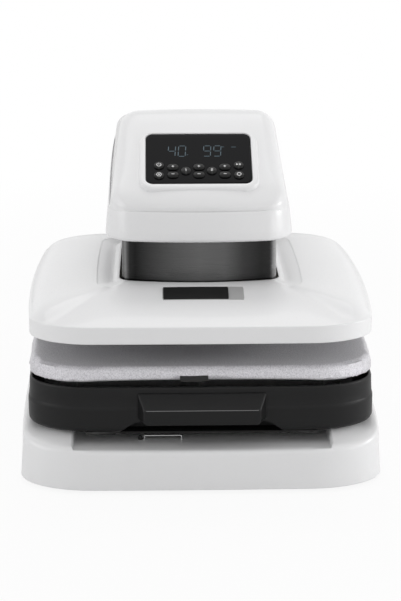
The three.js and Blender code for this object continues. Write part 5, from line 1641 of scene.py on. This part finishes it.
# %% Panel place
PANEL_TILT = 32.6
PANEL_WIDE, PANEL_HIGH = 129.0, 88.4
PANEL_CORNER = Vector((0, from_front(149.06), 340.43))
PANEL_TURN = Matrix.Rotation(math.radians(PANEL_TILT), 4, "X")
PANEL_PLACE = Matrix.Translation(PANEL_CORNER * MM) @ PANEL_TURN
PANEL = Plan(PANEL_WIDE, PANEL_HIGH, 9, centre=PANEL_HIGH / 2)


def on_panel(piece):
    """Tilts a piece that was drawn flat into the panel's frame."""
    piece.data.transform(PANEL_PLACE)
    piece.data.update()
    return piece


def frame_outline(side, low, high):
    """An outline wider than the panel by its own amounts at the sides, the bottom and the top."""
    wide, tall = PANEL_WIDE + 2 * side, PANEL_HIGH + low + high
    return Plan(wide, tall, 9 + (side + low) / 2, centre=PANEL_HIGH / 2 + (high - low) / 2)


FRAME_STEPS = [
    (9.4, 10.6, 2.6, -9.0), (8.9, 10.0, 2.4, -5.2), (8.4, 9.3, 2.2, -1.8), (7.7, 8.5, 2.0, 0.0),
    (6.8, 7.5, 1.8, 0.8), (5.6, 6.2, 1.6, 1.1), (2.2, 2.4, 1.2, 1.15), (0.9, 0.9, 0.8, 0.9),
    (0.45, 0.45, 0.45, 0.2), (0.3, 0.3, 0.3, -2.7),
]
surround_rings = [ring(frame_outline(s, l, h), z) for s, l, h, z in FRAME_STEPS]
surround = on_panel(skin("surround", surround_rings, plain_cutter))
pocket = on_panel(plug("pocket", PANEL.drawn_in(-0.3), -2.75, 12))
window = on_panel(plug("window", PANEL.drawn_in(2.5), -40, 12))
combine(head_top, [surround], "UNION")
combine(head_top, [pocket, window])
dress(head_top, white_shell.material)
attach(head_top, "stand")
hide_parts("head_cover")
print("cover with its panel frame:", len(head_top.data.polygons), "faces")

# %% [markdown]
# The panel is a glossy black plate with an opening for each of its twelve buttons. They stand in
# columns either side of the middle: round ones outside, pairs of wider ones inside. One table holds
# the place and outline of each, because the openings, the buttons and their marks all need it.

# %% Panel plate
ROUND_HIGH, ROUND_LOW, WIDE_HIGH, WIDE_LOW, MODE_ROW = 31.15, 14.15, 28.25, 14.85, 21.85
OUTER, MIDDLE, MODE = 48.6, 31.6, 15.8
ROUND_KEY = Plan(12.4, 12.4, 6.2)
WIDE_KEY = Plan(13.9, 10.2, 5.1)
KEYS = [
    ("power", ROUND_KEY, -OUTER, ROUND_HIGH), ("settings", ROUND_KEY, -OUTER, ROUND_LOW),
    ("time_up", WIDE_KEY, -MIDDLE, WIDE_HIGH), ("time_down", WIDE_KEY, -MIDDLE, WIDE_LOW),
    ("preset_1", ROUND_KEY, -MODE, MODE_ROW),
    ("heat_up", WIDE_KEY, 0, WIDE_HIGH), ("heat_down", WIDE_KEY, 0, WIDE_LOW),
    ("preset_2", ROUND_KEY, MODE, MODE_ROW),
    ("force_up", WIDE_KEY, MIDDLE, WIDE_HIGH), ("force_down", WIDE_KEY, MIDDLE, WIDE_LOW),
    ("start", ROUND_KEY, OUTER, ROUND_HIGH), ("auto", ROUND_KEY, OUTER, ROUND_LOW),
]
PANEL_ROWS = ((0, -2.4), (0, -0.5), (0.15, -0.15), (0.5, 0), (3, 0))


def moved(rings, across, up):
    """Rings pushed across and up the panel."""
    return [[point + Vector((across, up, 0)) for point in row] for row in rings]


panel = skin("panel_plate", stack(PANEL, PANEL_ROWS), panel_gloss.material)
key_holes = []
for _, key, u, v in KEYS:
    hole = stack(key.drawn_in(-0.3), [(0, -4), (0, 3)], arcs=8, sides=2)
    key_holes.append(skin("hole", moved(hole, u, v), plain_cutter))
combine(panel, key_holes)
dress(panel, panel_gloss.material)
on_panel(panel)
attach(panel, "stand")
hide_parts("control_panel")
print("panel:", len(panel.data.polygons), "faces")

# %% [markdown]
# ## Buttons and their marks
#
# Each button is a soft key with a flange under the panel and a slightly domed top. The marks are
# thin pieces of ink a tenth of a millimetre thick that ride with their button. They are plain signs:
# power, a hexagon, plus and minus, the numbers 1 and 2, play and pause, and a loop of arrows.


# %% Button bodies
KEY_TOP = 2.66
KEY_PROFILE = [
    (-0.7, -3.6), (-0.7, -2.75), (0, -2.7), (0, 0.9), (0.15, 1.5), (0.55, 1.95), (1.2, 2.2),
    (2.2, 2.42), (3.4, 2.58), (4.4, KEY_TOP),
]

for name, key, u, v in KEYS:
    rings = moved(stack(key, KEY_PROFILE, arcs=10, sides=3), u, v)
    piece = on_panel(skin("key_" + name, rings, button_plastic.material))
    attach(piece, "button_" + name)
    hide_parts("button_" + name)
print("buttons:", len(KEYS))

# %% [markdown]
# A printed mark could be an image on the button. As thin solid outlines it stays sharp in a close
# view and needs no picture. All the marks are built from three shapes: a bar, an arc and a hexagon.

# %% Marks
INK = 0.12
MARK_ROOT = 2.3


def add_prism(mesh_data, outline, low, high):
    """Adds a flat shape with a thickness to a bmesh; outline is in millimetres."""
    add_skin(mesh_data, [[Vector((x, y, z)) for x, y in outline] for z in (low, high)])


def bar(x, y, wide, tall):
    """A bar as an outline."""
    signs = ((-1, -1), (1, -1), (1, 1), (-1, 1))
    return [(x + right * wide / 2, y + up * tall / 2) for right, up in signs]


def on_circle(radius, degrees):
    """The point of a circle at this angle."""
    return radius * math.cos(math.radians(degrees)), radius * math.sin(math.radians(degrees))


def arc(radius, thick, start, end, steps=18):
    """A bent band as an outline, from one angle to another in degrees."""
    angles = [start + (end - start) * s / steps for s in range(steps + 1)]
    outer = [on_circle(radius + thick / 2, angle) for angle in angles]
    return outer + [on_circle(radius - thick / 2, angle) for angle in reversed(angles)]


def hexagon(radius, thick):
    """Six bars round a hexagon, each as an outline."""
    corners = [on_circle(radius, 60 * s) for s in range(7)]
    inner = [(x * (1 - thick / radius), y * (1 - thick / radius)) for x, y in corners]
    return [[corners[s], corners[s + 1], inner[s + 1], inner[s]] for s in range(6)]


MARKS = {
    "power": [arc(2.6, 0.8, 125, 415), bar(0, 1.7, 0.8, 2.8)],
    "settings": hexagon(3.5, 0.75) + [arc(0.95, 0.75, 0, 350)],
    "plus": [bar(0, 0, 3.2, 0.75), bar(0, 1.0, 0.75, 1.25), bar(0, -1.0, 0.75, 1.25)],
    "minus": [bar(0, 0, 3.6, 0.75)],
    "one": [bar(0.1, 0, 0.65, 4.0), [(-0.22, 2.0), (-0.22, 1.3), (-1.2, 0.9), (-1.2, 1.5)]],
    "two": [
        bar(0, 1.75, 2.4, 0.6), bar(0.9, 0.95, 0.6, 1.0), bar(0, 0.15, 2.4, 0.6),
        bar(-0.9, -0.7, 0.6, 1.1), bar(0, -1.55, 2.4, 0.6),
    ],
    "play": [[(-2.9, -1.5), (-0.4, 0), (-2.9, 1.5)], bar(0.7, 0, 0.7, 3.0), bar(2.1, 0, 0.7, 3.0)],
    "loop": [
        arc(2.4, 0.8, 20, 160), arc(2.4, 0.8, 200, 340),
        [(1.5, 0.4), (3.0, 0.4), (2.25, -0.75)], [(-1.5, -0.4), (-3.0, -0.4), (-2.25, 0.75)],
    ],
}
MARK_OF = {
    "power": "power", "settings": "settings", "time_up": "plus", "time_down": "minus",
    "preset_1": "one", "heat_up": "plus", "heat_down": "minus", "preset_2": "two",
    "force_up": "plus", "force_down": "minus", "start": "play", "auto": "loop",
}
for name, key, u, v in KEYS:
    ink = bmesh.new()
    for outline in MARKS[MARK_OF[name]]:
        add_prism(ink, [(u + x, v + y) for x, y in outline], MARK_ROOT, KEY_TOP + INK)
    mark = on_panel(make_object("mark_" + name, ink, icon_ink.material))
    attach(mark, "button_" + name)
print("marks:", len(MARK_OF))

# %% [markdown]
# ## Display
#
# The display shows two plain numbers in dim blue-green segments, 40 and 99, and three short dashes.
# Each segment is a thin bar let into the panel, just proud of it, and leaning as such digits do.

# %% Digits
DIGITS = {"4": "bcfg", "0": "abcdef", "9": "abcdfg"}
DIGIT_WIDE, DIGIT_TALL, SEGMENT = 8.7, 18.4, 1.0
DIGIT_GAP = 3.8
DIGIT_ROW = 57.6
DIGIT_LEAN = 0.06
SEGMENT_LOW, SEGMENT_HIGH = -0.3, 0.07
NUMBERS = (("40", -37.0), ("99", 6.4))
DASHES = (bar(43.5, 64.5, 6.0, 0.7), bar(-13.5, 51.0, 1.8, 0.6), bar(30.0, 64.8, 3.0, 0.8))


def segment_outline(letter, left, base):
    """One segment of a digit as a bar; letters run round from the top, g is the middle."""
    w, h, gap = DIGIT_WIDE, DIGIT_TALL, 1.1
    flat = {"a": h, "g": h / 2, "d": 0}
    if letter in flat:
        return bar(left + w / 2, base + flat[letter], w - 2 * gap, SEGMENT)
    x = left + (w if letter in "bc" else 0)
    y = base + (h * 0.75 if letter in "bf" else h * 0.25)
    return bar(x, y, SEGMENT, h / 2 - 2 * gap)


display = bmesh.new()
for text, start in NUMBERS:
    for index, digit in enumerate(text):
        for letter in DIGITS[digit]:
            left = start + index * (DIGIT_WIDE + DIGIT_GAP)
            outline = segment_outline(letter, left, DIGIT_ROW - DIGIT_TALL / 2)
            lean = [(x + (y - DIGIT_ROW) * DIGIT_LEAN, y) for x, y in outline]
            add_prism(display, lean, SEGMENT_LOW, SEGMENT_HIGH)
for outline in DASHES:
    add_prism(display, outline, SEGMENT_LOW, SEGMENT_HIGH)
digits = on_panel(make_object("display_digits", display, digit_glow.material))
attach(digits, "stand")
print("display segments:", len(digits.data.polygons) // 6)

# %% [markdown]
# ## Column housing
#
# The column behind the press carries the head and breathes through slots in its back. It is a tall
# loft with a wall, and the slots are milled with round ends.

# %% Column
COLUMN = Plan(200, 77, 22, centre=from_front(460 + 38.5))
COLUMN_LOW, COLUMN_TOP = DECK_TOP + 0.3, HEAD_BOTTOM - 0.3
COLUMN_ROWS = (
    (0, COLUMN_LOW), (0, 100), (0, 160), (0, 220), (0, COLUMN_TOP - 0.8), (0.4, COLUMN_TOP - 0.2),
    (1, COLUMN_TOP), (3, COLUMN_TOP), (3, 160), (3, COLUMN_LOW),
)
column = skin("column_skin", stack(COLUMN, COLUMN_ROWS), white_shell.material, looped=True)
COLUMN_REAR = from_front(460 + 77)
VENTS, VENT_PITCH, VENT_WIDE, VENT_TALL = 9, 14, 5, 60
vents = []
for index in range(VENTS):
    across = (index - VENTS // 2) * VENT_PITCH
    outline = bar(across, COLUMN_LOW + 100, VENT_WIDE, VENT_TALL)
    vents.append(prism("vent", round_corners(outline, [2.3] * 4), COLUMN_REAR - 12, COLUMN_REAR + 6))
combine(column, vents)
soften(column, 0.5, segments=2, angle=60)
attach(column, "stand")
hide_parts("column_housing")
print("column:", len(column.data.polygons), "faces")

# %% [markdown]
# ## Pieces that keep their measured shape
#
# Everything else is drawn well enough by the frame: the plates, motor, rods, boards and feet. Their
# meshes are measured, so they aren't touched, and each only gets a finish in place of its plain
# slot. The finish is found by how the name of a node starts, and a white moulding needs no entry.

# %% Finishes for the frame's own pieces
FINISH_STARTS = (
    (zinc_steel, ("bottom_plate",)),
    (frame_steel, ("frame_",)),
    (platen_alloy, ("lower_platen", "heating_platen", "carrier_plate", "guide_rod")),
    (board, ("control_board", "power_board")),
    (foam, ("press_pad",)),
    (insulation, ("insulation_sheet",)),
    (bronze, ("screw_nut", "guide_bush")),
    (foot_rubber, ("foot_",)),
    (shroud_steel, ("ram_tube",)),
    (black_tray, ("power_inlet", "switch_bezel", "top_limit_switch", "gearbox", "motor")),
    (chrome_wire, ("lead_screw",)),
    (rocker_plastic, ("power_switch",)),
)


def finish_for(name):
    """The finish of a node, found by the start of its name."""
    for finish, starts in FINISH_STARTS:
        if name.startswith(starts):
            return finish.material
    return white_shell.material


for name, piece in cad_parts.items():
    if not piece.hide_render:
        dress(piece, finish_for(name))
print("kept nodes:", sum(not piece.hide_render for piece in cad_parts.values()))

# %% [markdown]
#
# At the end the material of the cutting tools is removed.

# %% End
bpy.data.materials.remove(plain_cutter)
